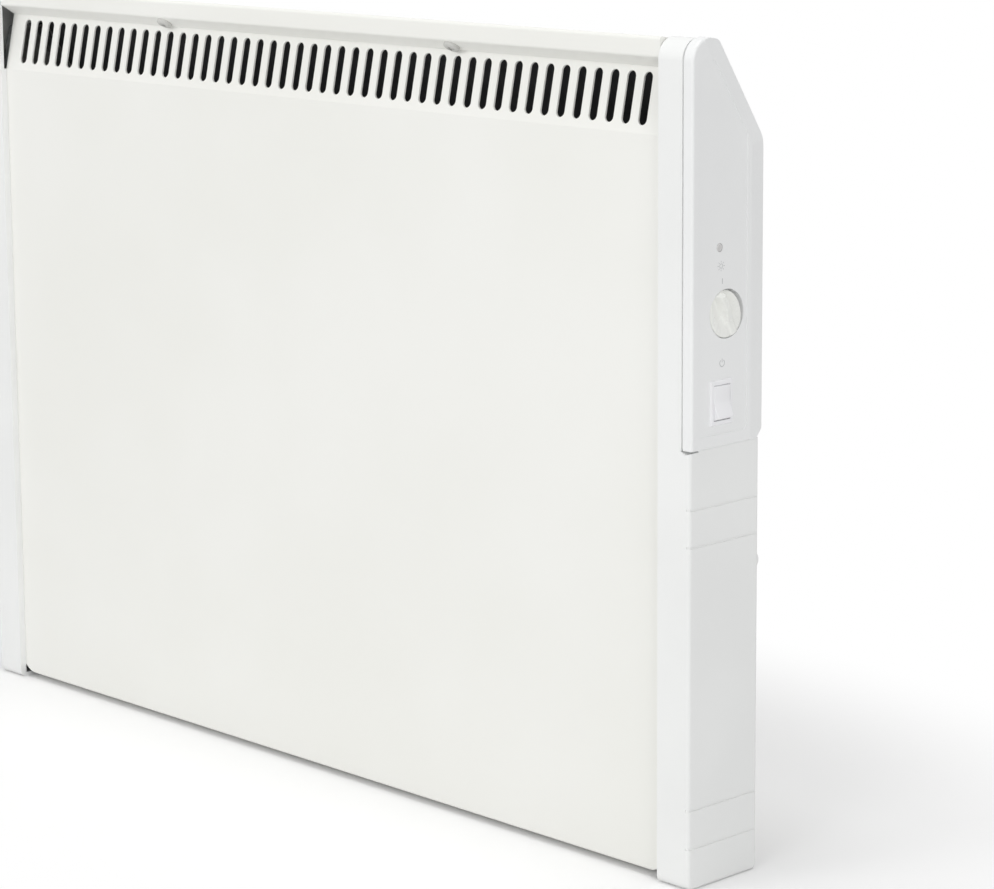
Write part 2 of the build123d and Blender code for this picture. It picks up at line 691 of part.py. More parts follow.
def end_plate_blank():
    """Right-hand end plate: a shallow pan whose rim carries the sheets."""
    pan = slab(plate_outline(), PLATE_PLACE - PLATE_FLANGE, PLATE_PLACE)
    hollow = offset(plate_outline(), amount=-SHEET)
    pan -= slab(hollow, PLATE_PLACE - PLATE_FLANGE - OVER, PLATE_PLACE - SHEET)
    for height in BOSS_HEIGHTS:
        span = (PLATE_PLACE - 2 * SHEET, PLATE_PLACE + OVER)
        pan -= rod_x(span, SCREW_RADIUS + SCREW_FIT, BOSS_DEPTH, height)
    for height in CASING_SCREW_HEIGHTS:
        span = (CASING_INNER - 3 * SHEET, CASING_INNER + OVER)
        pan -= rod_y(span, SCREW_RADIUS + SCREW_FIT, CASING_SCREW_X, height)
    return pan


def right_end_plate():
    span = (PLATE_PLACE - 2 * SHEET, PLATE_PLACE + OVER)
    return end_plate_blank() - rod_x(span, GROMMET_RADIUS, BLOCK_DEPTH, GROMMET_HEIGHT)


def left_end_plate():
    return mirrored(end_plate_blank())


def cap_screws():
    """Screws from inside the end plates into the caps' bosses."""
    seat = PLATE_PLACE - SHEET
    right = [
        Pos(seat, y_at(BOSS_DEPTH), z_at(height)) * Rot(0, -90, 0)
        * screw(SCREW_HEAD_RADIUS, SCREW_HEAD, SCREW_REACH)
        for height in BOSS_HEIGHTS
    ]
    return Part() + right + [mirrored(shape) for shape in right]


def wire_grommet():
    """Rubber ring in the right-hand end plate's wire hole."""
    outer, inner = (GROMMET_RADIUS + side * GROMMET_WALL for side in (1, -1))
    flange = rod_x((PLATE_PLACE, PLATE_PLACE + SHEET), outer, BLOCK_DEPTH, GROMMET_HEIGHT)
    neck = rod_x((PLATE_PLACE - 2 * SHEET, PLATE_PLACE), GROMMET_RADIUS, BLOCK_DEPTH, GROMMET_HEIGHT)
    bore = rod_x((PLATE_PLACE - 3 * SHEET, PLATE_PLACE + 2 * SHEET), inner, BLOCK_DEPTH, GROMMET_HEIGHT)
    return flange + neck - bore


# ---- heating element ---------------------------------------------------------------------------------


def element_body():
    """Extruded aluminium: a hub on the rod and four ribbed arms."""
    section = Circle(HUB_RADIUS)
    for angle in (ARM_ANGLE, 180 - ARM_ANGLE, 180 + ARM_ANGLE, -ARM_ANGLE):
        turn = Rot(0, 0, angle)
        section += turn * Pos(ARM_LENGTH / 2, 0) * Rectangle(ARM_LENGTH, ARM_SHEET)
        for number in range(RIB_COUNT):
            station = RIB_START + number * RIB_PITCH
            section += turn * Pos(station, 0) * Rectangle(ARM_SHEET, RIB_LENGTH * station / ARM_LENGTH)
    section -= Circle(ROD_RADIUS + ROD_FIT)
    place = Plane.YZ.offset(-FIN_END) * Pos(y_at(ELEMENT_DEPTH), z_at(ELEMENT_HEIGHT))
    return extrude(place * section, 2 * FIN_END)


def element_rod():
    return rod_x((-ROD_END, ROD_END), ROD_RADIUS, ELEMENT_DEPTH, ELEMENT_HEIGHT)


def element_end_seals():
    seal = rod_x((ROD_END, ROD_END + SEAL_LENGTH), SEAL_RADIUS, ELEMENT_DEPTH, ELEMENT_HEIGHT)
    seal = chamfer(seal.edges().sort_by(Axis.X)[-1], SEAL_LENGTH / 7)
    return Part() + [seal, mirrored(seal)]


def element_terminals():
    start = ROD_END + SEAL_LENGTH
    stud = rod_x((start, start + STUD_LENGTH), STUD_RADIUS, ELEMENT_DEPTH, ELEMENT_HEIGHT)
    nut_place = Pos(start + STUD_LENGTH / 3, y_at(ELEMENT_DEPTH), z_at(ELEMENT_HEIGHT)) * Rot(0, 90, 0)
    nut = nut_place * extrude(RegularPolygon(2 * STUD_RADIUS, 6), STUD_NUT)
    terminal = stud + nut
    return Part() + [terminal, mirrored(terminal)]


def element_hanger():
    """Right-hand hanger: a foot on the casing's back and an arm with a hole for the bush."""
    foot = block(
        (HANGER_PLACE, HANGER_PLACE + HANGER_FOOT),
        (CASING_INNER - HANGER_SHEET, CASING_INNER),
        (ELEMENT_HEIGHT - HANGER_RISE, ELEMENT_HEIGHT + HANGER_RISE),
    )
    arm_outline = [
        (CASING_INNER, ELEMENT_HEIGHT - HANGER_RISE),
        (ELEMENT_DEPTH - HANGER_WIDTH / 2, ELEMENT_HEIGHT - HANGER_WIDTH / 2),
        (ELEMENT_DEPTH - HANGER_WIDTH / 2, ELEMENT_HEIGHT + HANGER_WIDTH / 2),
        (CASING_INNER, ELEMENT_HEIGHT + HANGER_RISE),
    ]
    face = outline(arm_outline, [0, HANGER_WIDTH / 3, HANGER_WIDTH / 3, 0])
    arm = slab(face, HANGER_PLACE, HANGER_PLACE + HANGER_SHEET)
    span = (HANGER_PLACE - OVER, HANGER_PLACE + HANGER_SHEET + OVER)
    hole = rod_x(span, BUSH_RADIUS, ELEMENT_DEPTH, ELEMENT_HEIGHT)
    return foot + arm - hole


def hanger_bushes():
    """Ceramic bushes that hold the rod in the hangers."""
    start = HANGER_PLACE - BUSH_COLLAR
    end = HANGER_PLACE + BUSH_LENGTH
    neck = rod_x((HANGER_PLACE, end), BUSH_RADIUS, ELEMENT_DEPTH, ELEMENT_HEIGHT)
    collar = rod_x((start, HANGER_PLACE), BUSH_FLANGE, ELEMENT_DEPTH, ELEMENT_HEIGHT)
    bore = rod_x((start - OVER, end + OVER), ROD_RADIUS + ROD_FIT, ELEMENT_DEPTH, ELEMENT_HEIGHT)
    bush = neck + collar - bore
    return Part() + [bush, mirrored(bush)]


def heat_shield():
    """Bright sheet behind the element, standing off the casing's back on its two flanges."""
    foot_end = SHIELD_FOOT + SHIELD_FOOT_FLANGE
    top = HEIGHT - SHIELD_TOP
    top_end = top - SHIELD_FOOT_FLANGE
    places = [
        (CASING_INNER, top),
        (CASING_INNER, top_end),
        (SHIELD_DEPTH, top_end - SHIELD_SLOPE),
        (SHIELD_DEPTH, foot_end + SHIELD_SLOPE),
        (CASING_INNER, foot_end),
        (CASING_INNER, SHIELD_FOOT),
    ]
    return bent_sheet(places, SHIELD_SHEET, SHEET_BEND, -SHIELD_END, SHIELD_END)


def cutout_bracket():
    """Angle on the heat shield that holds the cut-out over the element."""
    front = SHIELD_DEPTH - SHIELD_SHEET
    x_span = (CUTOUT_PLACE - CUTOUT_TONGUE_WIDTH / 2, CUTOUT_PLACE + CUTOUT_TONGUE_WIDTH / 2)
    tab = block(x_span, (front - CUTOUT_SHEET, front), (CUTOUT_HEIGHT, CUTOUT_HEIGHT + CUTOUT_TAB))
    tongue = block(x_span, (front - CUTOUT_TONGUE, front), (CUTOUT_HEIGHT, CUTOUT_HEIGHT + CUTOUT_SHEET))
    middle = Pos(CUTOUT_PLACE, y_at(CUTOUT_DEPTH), z_at(CUTOUT_HEIGHT))
    return tab + tongue - middle * Cylinder(CUTOUT_CAP_RADIUS + SCREW_FIT, 4 * CUTOUT_SHEET)


def thermal_cutout():
    """Snap-disc cut-out: metal cap through the bracket towards the element, two blades on top."""
    seat = z_at(CUTOUT_HEIGHT + CUTOUT_SHEET)
    middle = Pos(CUTOUT_PLACE, y_at(CUTOUT_DEPTH), seat)
    body = middle * Pos(0, 0, CUTOUT_BODY / 2) * Cylinder(CUTOUT_RADIUS, CUTOUT_BODY)
    body += middle * Pos(0, 0, -CUTOUT_CAP / 2) * Cylinder(CUTOUT_CAP_RADIUS, CUTOUT_CAP)
    for side in (-1, 1):
        blade = Box(BLADE[1], BLADE[0], BLADE[2])
        body += middle * Pos(side * CUTOUT_RADIUS / 2, 0, CUTOUT_BODY + BLADE[2] / 2) * blade
    return body


def lead(places):
    """A wire along places given as X, depth and height, with the first and last as its ends."""
    points = [(x, y_at(depth), z_at(height)) for x, depth, height in places]
    path = Polyline(*points)
    section = Plane(path @ 0, z_dir=path % 0) * Circle(LEAD_RADIUS)
    return sweep(section, path, transition=Transition.RIGHT)


def element_leads():
    """Right stud to cut-out, cut-out to terminal block, and left stud to terminal block."""
    stud = ROD_END + SEAL_LENGTH + STUD_LENGTH
    turn = stud + LEAD_TURN
    blade_foot = CUTOUT_HEIGHT + CUTOUT_SHEET + CUTOUT_BODY + BLADE[2]
    near, far = (CUTOUT_PLACE + side * CUTOUT_RADIUS / 2 for side in (1, -1))
    first, second = (BLOCK_DEPTH + side * 1.5 * LEAD_RADIUS for side in (-1, 1))
    stud_to_cutout = [
        (stud, ELEMENT_DEPTH, ELEMENT_HEIGHT),
        (turn, ELEMENT_DEPTH, ELEMENT_HEIGHT),
        (turn, ELEMENT_DEPTH, blade_foot + LEAD_TURN),
        (near, CUTOUT_DEPTH, blade_foot + LEAD_TURN),
        (near, CUTOUT_DEPTH, blade_foot),
    ]
    cutout_to_block = [
        (far, CUTOUT_DEPTH, blade_foot),
        (far, CUTOUT_DEPTH, blade_foot + 2 * LEAD_TURN),
        (turn, first, blade_foot + 2 * LEAD_TURN),
        (turn, first, GROMMET_HEIGHT),
        (LEAD_X, first, GROMMET_HEIGHT),
        (LEAD_X, first, BLOCK_FOOT),
    ]
    stud_to_block = [
        (-stud, ELEMENT_DEPTH, ELEMENT_HEIGHT),
        (-turn, ELEMENT_DEPTH, ELEMENT_HEIGHT),
        (-turn, second, ELEMENT_HEIGHT),
        (-turn, second, LEAD_RUN_HEIGHT),
        (turn, second, LEAD_RUN_HEIGHT),
        (turn, second, GROMMET_HEIGHT),
        (LEAD_X, second, GROMMET_HEIGHT),
        (LEAD_X, second, BLOCK_FOOT),
    ]
    return Part() + [lead(places) for places in (stud_to_cutout, cutout_to_block, stud_to_block)]


# ---- control housing and module ----------------------------------------------------------------------


def housing_outline(grow=0.0):
    """Outline of the control housing, from the cap's own with its overhangs."""
    front = -HOUSING_FRONT - grow
    rear = HOUSING_REAR + grow
    top = HEIGHT + HOUSING_FRONT + grow
    knee = CAP_KNEE_HEIGHT + HOUSING_FRONT + grow
    foot = HOUSING_FOOT - grow
    slope_end = CAP_KNEE_HEIGHT - (DEPTH + rear - CAP_TOP_DEPTH - rear * SLOPE_STRETCH) / SLOPE
    places = [
        (front, foot),
        (front, top),
        (slope_depth(knee, -rear), knee),
        (DEPTH + rear, slope_end),
        (DEPTH + rear, foot + HOUSING_HEEL),
        (DEPTH + rear - HOUSING_HEEL, foot),
    ]
    radii = [1.0, HOUSING_CORNER, CAP_KNEE_RADIUS, CAP_BACK_RADIUS, 1.5, 1.5]
    return outline(places, radii)


def bevel_tool(depth, height, turn):
    """Cuts the shallow bevel along a straight edge of the housing's face that leaves a point."""
    section = Polyline(
        (-BEVEL_WIDTH, 0),
        (BEVEL_WIDTH, -2 * BEVEL_FALL),
        (BEVEL_WIDTH, BEVEL_WIDTH),
        (-BEVEL_WIDTH, BEVEL_WIDTH),
        close=True,
    )
    plane = Plane((0, 0, 0), x_dir=(0, 1, 0), z_dir=(0, 0, -1))
    tool = extrude(plane * make_face(section), HEIGHT, both=True)
    return Pos(HOUSING_FACE, y_at(depth), z_at(height)) * Rot(turn, 0, 0) * tool


def field_outline():
    places = [
        (FIELD_FRONT, HOUSING_FOOT + FIELD_BORDER),
        (FIELD_FRONT, HEIGHT - FIELD_TOP_BORDER),
        (FIELD_KNEE_DEPTH, HEIGHT - FIELD_TOP_BORDER),
        (FIELD_REAR, SLOPE_FOOT + FIELD_KNEE_RISE),
        (FIELD_REAR, HOUSING_FOOT + FIELD_BORDER),
    ]
    return outline(places, FIELD_RADIUS)


def control_housing():
    """Moulded housing: bevelled face, sunk field, knob well, switch opening and light hole."""
    shell = slab(housing_outline(), STEP_FACE, HOUSING_FACE)
    shell = fillet(shell.faces().sort_by(Axis.X)[-1].edges(), HOUSING_EDGE)
    groove = slab(housing_outline(OVER), STEP_FACE, STEP_FACE + PARTING)
    shell -= groove - slab(housing_outline(-PARTING_SINK), STEP_FACE - OVER, STEP_FACE + PARTING + OVER)
    slope_end = CAP_KNEE_HEIGHT - (DEPTH - CAP_TOP_DEPTH) / SLOPE
    shell -= bevel_tool(DEPTH + HOUSING_REAR, HOUSING_FOOT, 0)
    angle = math.degrees(math.atan(SLOPE))
    shell -= bevel_tool(slope_depth(slope_end) + HOUSING_REAR * SLOPE_STRETCH, slope_end, angle)
    wall_back = HOUSING_FACE - HOUSING_WALL - BEVEL_FALL
    shell -= slab(housing_outline(-HOUSING_WALL), STEP_FACE - OVER, wall_back)
    shell -= slab(field_outline(), FIELD_FACE, HOUSING_FACE + OVER)
    through = (STEP_FACE - OVER, HOUSING_FACE + OVER)
    # Knob well
    cup = (WELL_FLOOR - HOUSING_WALL / 2, HOUSING_FACE - HOUSING_WALL)
    shell += rod_x(cup, WELL_RADIUS + HOUSING_WALL, KNOB_DEPTH, KNOB_HEIGHT)
    shell -= rod_x((WELL_FLOOR, through[1]), WELL_RADIUS, KNOB_DEPTH, KNOB_HEIGHT)
    shell -= rod_x(through, SPINDLE_RADIUS + 2 * SCREW_FIT, KNOB_DEPTH, KNOB_HEIGHT)
    # Switch opening and light hole
    shell -= block(through, *switch_span(SWITCH_BODY, SCREW_FIT))
    return shell - rod_x(through, LENS_RADIUS + LENS_FIT, LENS_DEPTH, LENS_HEIGHT)


def module_tray():
    """Open box behind the housing, with posts for the circuit board."""
    back = TRAY_FLOOR - TRAY_WALL
    tray = block((back, STEP_FACE), (TRAY_FRONT, TRAY_REAR), (TRAY_FOOT, TRAY_TOP))
    tray += block(
        (STEP_FACE, STEP_FACE + SHEET),
        (TRAY_FRONT - TRAY_FLANGE, TRAY_REAR + TRAY_FLANGE),
        (TRAY_FOOT - TRAY_FLANGE, TRAY_TOP + TRAY_FLANGE),
    )
    tray -= block(
        (TRAY_FLOOR, STEP_FACE + 2 * SHEET),
        (TRAY_FRONT + TRAY_WALL, TRAY_REAR - TRAY_WALL),
        (TRAY_FOOT + TRAY_WALL, TRAY_TOP - TRAY_WALL),
    )
    for depth, height in board_posts():
        tray += rod_x((TRAY_FLOOR - TRAY_WALL / 2, BOARD_BACK), POST_RADIUS, depth, height)
        tray -= rod_x((TRAY_FLOOR, BOARD_BACK + OVER), SCREW_RADIUS, depth, height)
    wire_way = Pos(LEAD_X, y_at(BLOCK_DEPTH), z_at(TRAY_FOOT)) * Cylinder(WIRE_WAY_RADIUS, 4 * TRAY_WALL)
    return tray - wire_way


def board_posts():
    depths = (BOARD_FRONT + BOARD_POST_INSET, BOARD_REAR - BOARD_POST_INSET)
    heights = (BOARD_FOOT + BOARD_POST_INSET, BOARD_TOP - BOARD_POST_INSET)
    return [(depth, height) for depth in depths for height in heights]


def control_board():
    board = block((BOARD_BACK, BOARD_FACE), (BOARD_FRONT, BOARD_REAR), (BOARD_FOOT, BOARD_TOP))
    for depth, height in board_posts():
        board -= rod_x((BOARD_BACK - OVER, BOARD_FACE + OVER), SCREW_RADIUS + SCREW_FIT, depth, height)
    return board


def board_screws():
    shape = Rot(0, 90, 0) * screw(SCREW_HEAD_RADIUS, BOARD_SCREW_HEAD, SCREW_REACH)
    return Part() + [Pos(BOARD_FACE, y_at(depth), z_at(height)) * shape for depth, height in board_posts()]


def on_board(size, middle_depth, foot):
    """A boxed component standing on the board's face."""
    depths = (middle_depth - size[1] / 2, middle_depth + size[1] / 2)
    return block((BOARD_FACE, BOARD_FACE + size[0]), depths, (foot, foot + size[2]))


def board_components():
    """Relay, dropper capacitor and smoothing capacitor on the front of the board."""
    middle = (BOARD_FRONT + BOARD_REAR) / 2
    relay = on_board(RELAY, middle, LENS_HEIGHT + RELAY_GAP)
    dropper = on_board(DROPPER, middle, KNOB_HEIGHT + DROPPER_GAP)
    smoother = rod_x(
        (BOARD_FACE, BOARD_FACE + RELAY[0]), SMOOTHER_RADIUS, SMOOTHER_DEPTH, BOARD_FOOT + SMOOTHER_RISE
    )
    return Part() + [relay, dropper, smoother]


def potentiometer():
    """Thermostat potentiometer on the board, behind the knob."""
    size = (WELL_FLOOR - HOUSING_WALL / 2 - SCREW_FIT - BOARD_FACE, POT_SIZE, POT_SIZE)
    body = on_board(size, KNOB_DEPTH, KNOB_HEIGHT - POT_SIZE / 2)
    return body - rod_x((BOARD_FACE, KNOB_BACK), SPINDLE_RADIUS + SPINDLE_FIT, KNOB_DEPTH, KNOB_HEIGHT)


def knob_spindle():
    """Spindle from the potentiometer into the knob, with a flat at the knob's end."""
    span = (BOARD_FACE + SPINDLE_END_GAP, SPINDLE_END)
    return rod_x(span, SPINDLE_RADIUS, KNOB_DEPTH, KNOB_HEIGHT) - spindle_flat()


def spindle_flat():
    """Space beside the flat at the spindle's outer end."""
    middle = Pos(KNOB_BACK + KNOB_DISC / 2, y_at(KNOB_DEPTH), z_at(KNOB_HEIGHT)) * Rot(KNOB_TURN, 0, 0)
    return middle * Pos(0, 0, SPINDLE_RADIUS) * Box(KNOB_DISC, 3 * SPINDLE_RADIUS, SPINDLE_RADIUS)


def thermostat_knob():
    """Round knob with a raised grip between two finger scoops."""
    place = Pos(KNOB_BACK, y_at(KNOB_DEPTH), z_at(KNOB_HEIGHT)) * Rot(KNOB_TURN, 0, 0) * Rot(0, 90, 0)
    disc = Pos(0, 0, KNOB_DISC / 2) * Cylinder(KNOB_RADIUS, KNOB_DISC)
    disc = chamfer(disc.edges().group_by(Axis.Z)[-1], KNOB_EDGE)
    for side in (-1, 1):
        offset_y = side * (GRIP_FOOT_WIDTH / 2 + SCOOP_RADIUS * SCOOP_SHARE)
        scoop = Pos(0, offset_y, KNOB_DISC + SCOOP_RADIUS - SCOOP_SINK) * Rot(0, 90, 0)
        disc -= scoop * Cylinder(SCOOP_RADIUS, 3 * KNOB_RADIUS)
    grip_half = KNOB_RADIUS - KNOB_EDGE
    section = Polyline(
        (-GRIP_FOOT_WIDTH / 2, 0),
        (GRIP_FOOT_WIDTH / 2, 0),
        (GRIP_WIDTH / 2, KNOB_DISC + GRIP_RISE),
        (-GRIP_WIDTH / 2, KNOB_DISC + GRIP_RISE),
        close=True,
    )
    grip = extrude(Plane.YZ * make_face(section), grip_half, both=True)
    grip &= Cylinder(grip_half, 4 * KNOB_DISC)
    grip = chamfer(grip.edges().group_by(Axis.Z)[-1], KNOB_EDGE / 2)
    bore = rod_x((KNOB_BACK - OVER, SPINDLE_END), SPINDLE_RADIUS, KNOB_DEPTH, KNOB_HEIGHT)
    return place * (disc + grip) - (bore - spindle_flat())


def switch_span(size, grow=0.0):
    """Depth and height limits of something centred on the switch."""
    half = [side / 2 + grow for side in size]
    return (
        (SWITCH_DEPTH - half[0], SWITCH_DEPTH + half[0]),
        (SWITCH_HEIGHT - half[1], SWITCH_HEIGHT + half[1]),
    )


def switch_pins(radius, reach):
    """The rocker's pins, or their bores, as one bar through the switch."""
    half = ROCKER_SIZE[0] / 2 + reach
    return rod_y((SWITCH_DEPTH - half, SWITCH_DEPTH + half), radius, ROCKER_AXIS, SWITCH_HEIGHT)


def switch_body():
    """Snap-in switch frame and body, open at the front for the rocker, with three blades behind."""
    front = FIELD_FACE + SWITCH_FLANGE
    back = FIELD_FACE - SWITCH_REACH
    flange = block((FIELD_FACE, front), *switch_span(SWITCH_FRAME))
    flange = chamfer(flange.faces().sort_by(Axis.X)[-1].edges(), SWITCH_RIM)
    body = flange + block((back, FIELD_FACE), *switch_span(SWITCH_BODY))
    pocket = (ROCKER_SIZE[0] + 2 * ROCKER_GAP, ROCKER_SIZE[1] + 2 * ROCKER_END_GAP)
    body -= block((ROCKER_AXIS - ROCKER_POCKET, front + OVER), *switch_span(pocket))
    body -= switch_pins(ROCKER_PIN + ROCKER_FIT, PIN_REACH)
    for step in (-1, 0, 1):
        middle = SWITCH_HEIGHT + step * SWITCH_BODY[1] / 3
        depths = (SWITCH_DEPTH - BLADE[0] / 2, SWITCH_DEPTH + BLADE[0] / 2)
        body += block((back - BLADE[2] / 3, back), depths, (middle - BLADE[1] / 2, middle + BLADE[1] / 2))
    return body


def switch_rocker():
    """Rocker: two faces that meet in a shallow valley over its pins, drawn with its head pressed."""
    half_z = ROCKER_SIZE[1] / 2
    rise = FIELD_FACE + SWITCH_FLANGE - ROCKER_AXIS
    tip = rise + ROCKER_RISE
    foot, foot_half = ROCKER_FOOT[0], ROCKER_FOOT[1] / 2
    section = [
        (rise + ROCKER_VALLEY, 0.0),
        (tip, half_z),
        (tip - ROCKER_CHEEK, half_z),
        (-foot, foot_half),
        (-foot, -foot_half),
        (tip - ROCKER_CHEEK, -half_z),
        (tip, -half_z),
    ]
    middle = (ROCKER_AXIS, y_at(SWITCH_DEPTH), z_at(SWITCH_HEIGHT))
    plane = Plane(middle, x_dir=(1, 0, 0), z_dir=(0, -1, 0))
    body = extrude(plane * make_face(Polyline(*section, close=True)), ROCKER_SIZE[0] / 2, both=True)
    pivot = Pos(*middle)
    tilt = pivot * Rot(0, -ROCKER_ANGLE, 0) * pivot.inverse()
    return tilt * (body + switch_pins(ROCKER_PIN, PIN_REACH - SCREW_FIT))


def indicator_lens():
    """Light pipe from the board to the housing's face, with a domed end."""
    end = FIELD_FACE + LENS_RISE
    lens = rod_x((end - LENS_LENGTH, end), LENS_RADIUS, LENS_DEPTH, LENS_HEIGHT)
    lens = chamfer(lens.edges().sort_by(Axis.X)[-1], LENS_DOME)
    stem = rod_x((BOARD_FACE, end - LENS_LENGTH / 2), LENS_RADIUS - LENS_DOME, LENS_DEPTH, LENS_HEIGHT)
    return lens + stem


def terminal_block():
    """Three-way mains terminal block on the tray's floor."""
    face = TRAY_FLOOR + BLOCK_SIZE[0]
    depths = (BLOCK_DEPTH - BLOCK_SIZE[1] / 2, BLOCK_DEPTH + BLOCK_SIZE[1] / 2)
    body = block((TRAY_FLOOR, face), depths, (BLOCK_FOOT, BLOCK_FOOT + BLOCK_SIZE[2]))
    for way in range(BLOCK_WAYS):
        height = BLOCK_FOOT + (way + 0.5) * BLOCK_SIZE[2] / BLOCK_WAYS
        body -= rod_x((face - BLOCK_HOLE_SINK, face + OVER), BLOCK_HOLE_RADIUS, BLOCK_DEPTH, height)
    return body


def cable_gland():
    """Cable inlet: flange outside the cap, nose towards the wall, clamp collar inside."""
    wall = DEPTH - CAP_WALL
    flange_end = DEPTH + GLAND_FLANGE_SHEET
    nose_end = flange_end + GLAND_NOSE
    neck = rod_y((wall, DEPTH), GLAND_RADIUS, LEAD_X, GLAND_HEIGHT)
    flange = rod_y((DEPTH, flange_end), GLAND_FLANGE, LEAD_X, GLAND_HEIGHT)
    collar = rod_y((wall - GLAND_INNER, wall), GLAND_COLLAR, LEAD_X, GLAND_HEIGHT)
    nose_place = Pos(LEAD_X, y_at((flange_end + nose_end) / 2), z_at(GLAND_HEIGHT)) * Rot(-90, 0, 0)
    nose = nose_place * Cone(GLAND_RADIUS + GLAND_NOSE_WALL, GLAND_BORE + GLAND_NOSE_WALL, GLAND_NOSE)
    bore = rod_y((wall - GLAND_INNER - OVER, nose_end + OVER), GLAND_BORE, LEAD_X, GLAND_HEIGHT)
    return neck + flange + nose + collar - bore


# ---- wall bracket ------------------------------------------------------------------------------------


def channel_section():
    """Plan view of a channel: web on the bars, two flanges towards the heater."""
    half = CHANNEL_WIDTH / 2
    web = -BRACKET_SHEET
    front = y_at(CASING_BACK + CHANNEL_GAP)
    path = FilletPolyline((-half, front), (-half, web), (half, web), (half, front), radius=BRACKET_BEND)
    return make_face(offset(path, amount=BRACKET_SHEET, side=Side.RIGHT, closed=True))


def hook(x, height):
    """A finger on the channel's flange: a neck through the casing and a tip behind its wall."""
    neck_start = CASING_INNER - HOOK_PLAY - HOOK_SHEET
    x_span = (x - BRACKET_SHEET / 2, x + BRACKET_SHEET / 2)
    neck = block(x_span, (neck_start, CASING_BACK + HOOK_SHEET), (height - HOOK_NECK, height))
    tip = block(x_span, (neck_start, neck_start + HOOK_SHEET), (height - HOOK_NECK, height + HOOK_TIP))
    return neck + tip


def bracket_rail(side):
    """Channel behind one side of the heater, with a hook at the foot and the top."""
    middle = side * SCREW_SPACING_X / 2
    rail = Pos(middle, 0, -CHANNEL_LENGTH / 2) * extrude(channel_section(), CHANNEL_LENGTH)
    for x, height in hook_places():
        if x * side > 0:
            rail += hook(x, height)
    for end in (-1, 1):
        place = Pos(middle, 0, end * SCREW_SPACING_Z / 2) * Rot(90, 0, 0)
        rail -= place * Cylinder(SCREW_HOLE_RADIUS, HOLE_TOOL)
    for x, z in rivet_places():
        rail -= Pos(x, 0, z) * Rot(90, 0, 0) * Cylinder(RIVET_RADIUS + RIVET_FIT, HOLE_TOOL)
    return rail


def rivet_places():
    x = SCREW_SPACING_X / 2
    return [
        (side * x + off * RIVET_OFFSET, end * SCREW_SPACING_Z / 2)
        for side in (-1, 1) for off in (-1, 1) for end in (-1, 1)
    ]


def bracket_bar(end):
    """Flat bar on the wall that joins the channels."""
    z = end * SCREW_SPACING_Z / 2
    bar = Pos(0, -BRACKET_SHEET / 2, z) * Box(BAR_LENGTH, BRACKET_SHEET, BAR_WIDTH)
    bar = fillet(bar.edges().filter_by(Axis.Y), BAR_WIDTH / 4)
    for side in (-1, 1):
        bar -= Pos(side * SCREW_SPACING_X / 2, 0, z) * Rot(90, 0, 0) * Cylinder(SCREW_HOLE_RADIUS, HOLE_TOOL)
    for x, height in rivet_places():
        bar -= Pos(x, 0, height) * Rot(90, 0, 0) * Cylinder(RIVET_RADIUS + RIVET_FIT, HOLE_TOOL)
    return bar


def bracket_rivets():
    shapes = []
    for x, z in rivet_places():
        shank = Pos(x, -BRACKET_SHEET, z) * Rot(90, 0, 0) * Cylinder(RIVET_RADIUS, 2 * BRACKET_SHEET)
        head = Pos(0, 0, RIVET_HEAD / 2) * Cylinder(RIVET_HEAD_RADIUS, RIVET_HEAD)
        shapes.append(shank + Pos(x, -2 * BRACKET_SHEET, z) * Rot(90, 0, 0) * head)
    return Part() + shapes


# ---- nodes -------------------------------------------------------------------------------------------

NODES = {
    "front_panel": front_panel,
    "top_rail": top_rail,
    "band_screws": band_screws,
    "rear_casing": rear_casing,
    "casing_screws": casing_screws,
    "left_end_cap": left_end_cap,
    "right_end_cap": right_end_cap,
    "left_end_plate": left_end_plate,
    "right_end_plate": right_end_plate,
    "cap_screws": cap_screws,
    "wire_grommet": wire_grommet,
    "element_body": element_body,
    "element_rod": element_rod,
    "element_end_seals": element_end_seals,
    "element_terminals": element_terminals,
    "element_leads": element_leads,
    "element_hanger_left": lambda: mirrored(element_hanger()),
    "element_hanger_right": element_hanger,
    "hanger_bushes": hanger_bushes,
    "heat_shield": heat_shield,
    "cutout_bracket": cutout_bracket,
    "thermal_cutout": thermal_cutout,
    "control_housing": control_housing,
    "module_tray": module_tray,
    "control_board": control_board,
    "board_screws": board_screws,
    "board_components": board_components,
    "potentiometer": potentiometer,
    "knob_spindle": knob_spindle,
    "thermostat_knob": thermostat_knob,
    "switch_body": switch_body,
    "switch_rocker": switch_rocker,
    "indicator_lens": indicator_lens,
    "terminal_block": terminal_block,
    "cable_gland": cable_gland,
    "bracket_rail_left": lambda: bracket_rail(-1),
    "bracket_rail_right": lambda: bracket_rail(1),
    "bracket_bar_lower": lambda: bracket_bar(-1),
    "bracket_bar_upper": lambda: bracket_bar(1),
    "bracket_rivets": bracket_rivets,
}

os.makedirs("parts", exist_ok=True)
for name, build in NODES.items():
    export_step(build(), f"parts/{name}.step")
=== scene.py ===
import bpy
import bmesh
import math
from mathutils import Matrix, Vector


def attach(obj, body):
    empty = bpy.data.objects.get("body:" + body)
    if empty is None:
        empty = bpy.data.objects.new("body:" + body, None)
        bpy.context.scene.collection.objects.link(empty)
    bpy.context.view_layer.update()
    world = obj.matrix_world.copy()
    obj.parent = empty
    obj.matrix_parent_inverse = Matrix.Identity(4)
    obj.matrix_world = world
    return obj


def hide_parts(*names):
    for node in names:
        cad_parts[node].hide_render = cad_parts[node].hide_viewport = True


# Wall panel convector heater, dressed over its CAD frame. Metres, +Z up, origin on the wall.

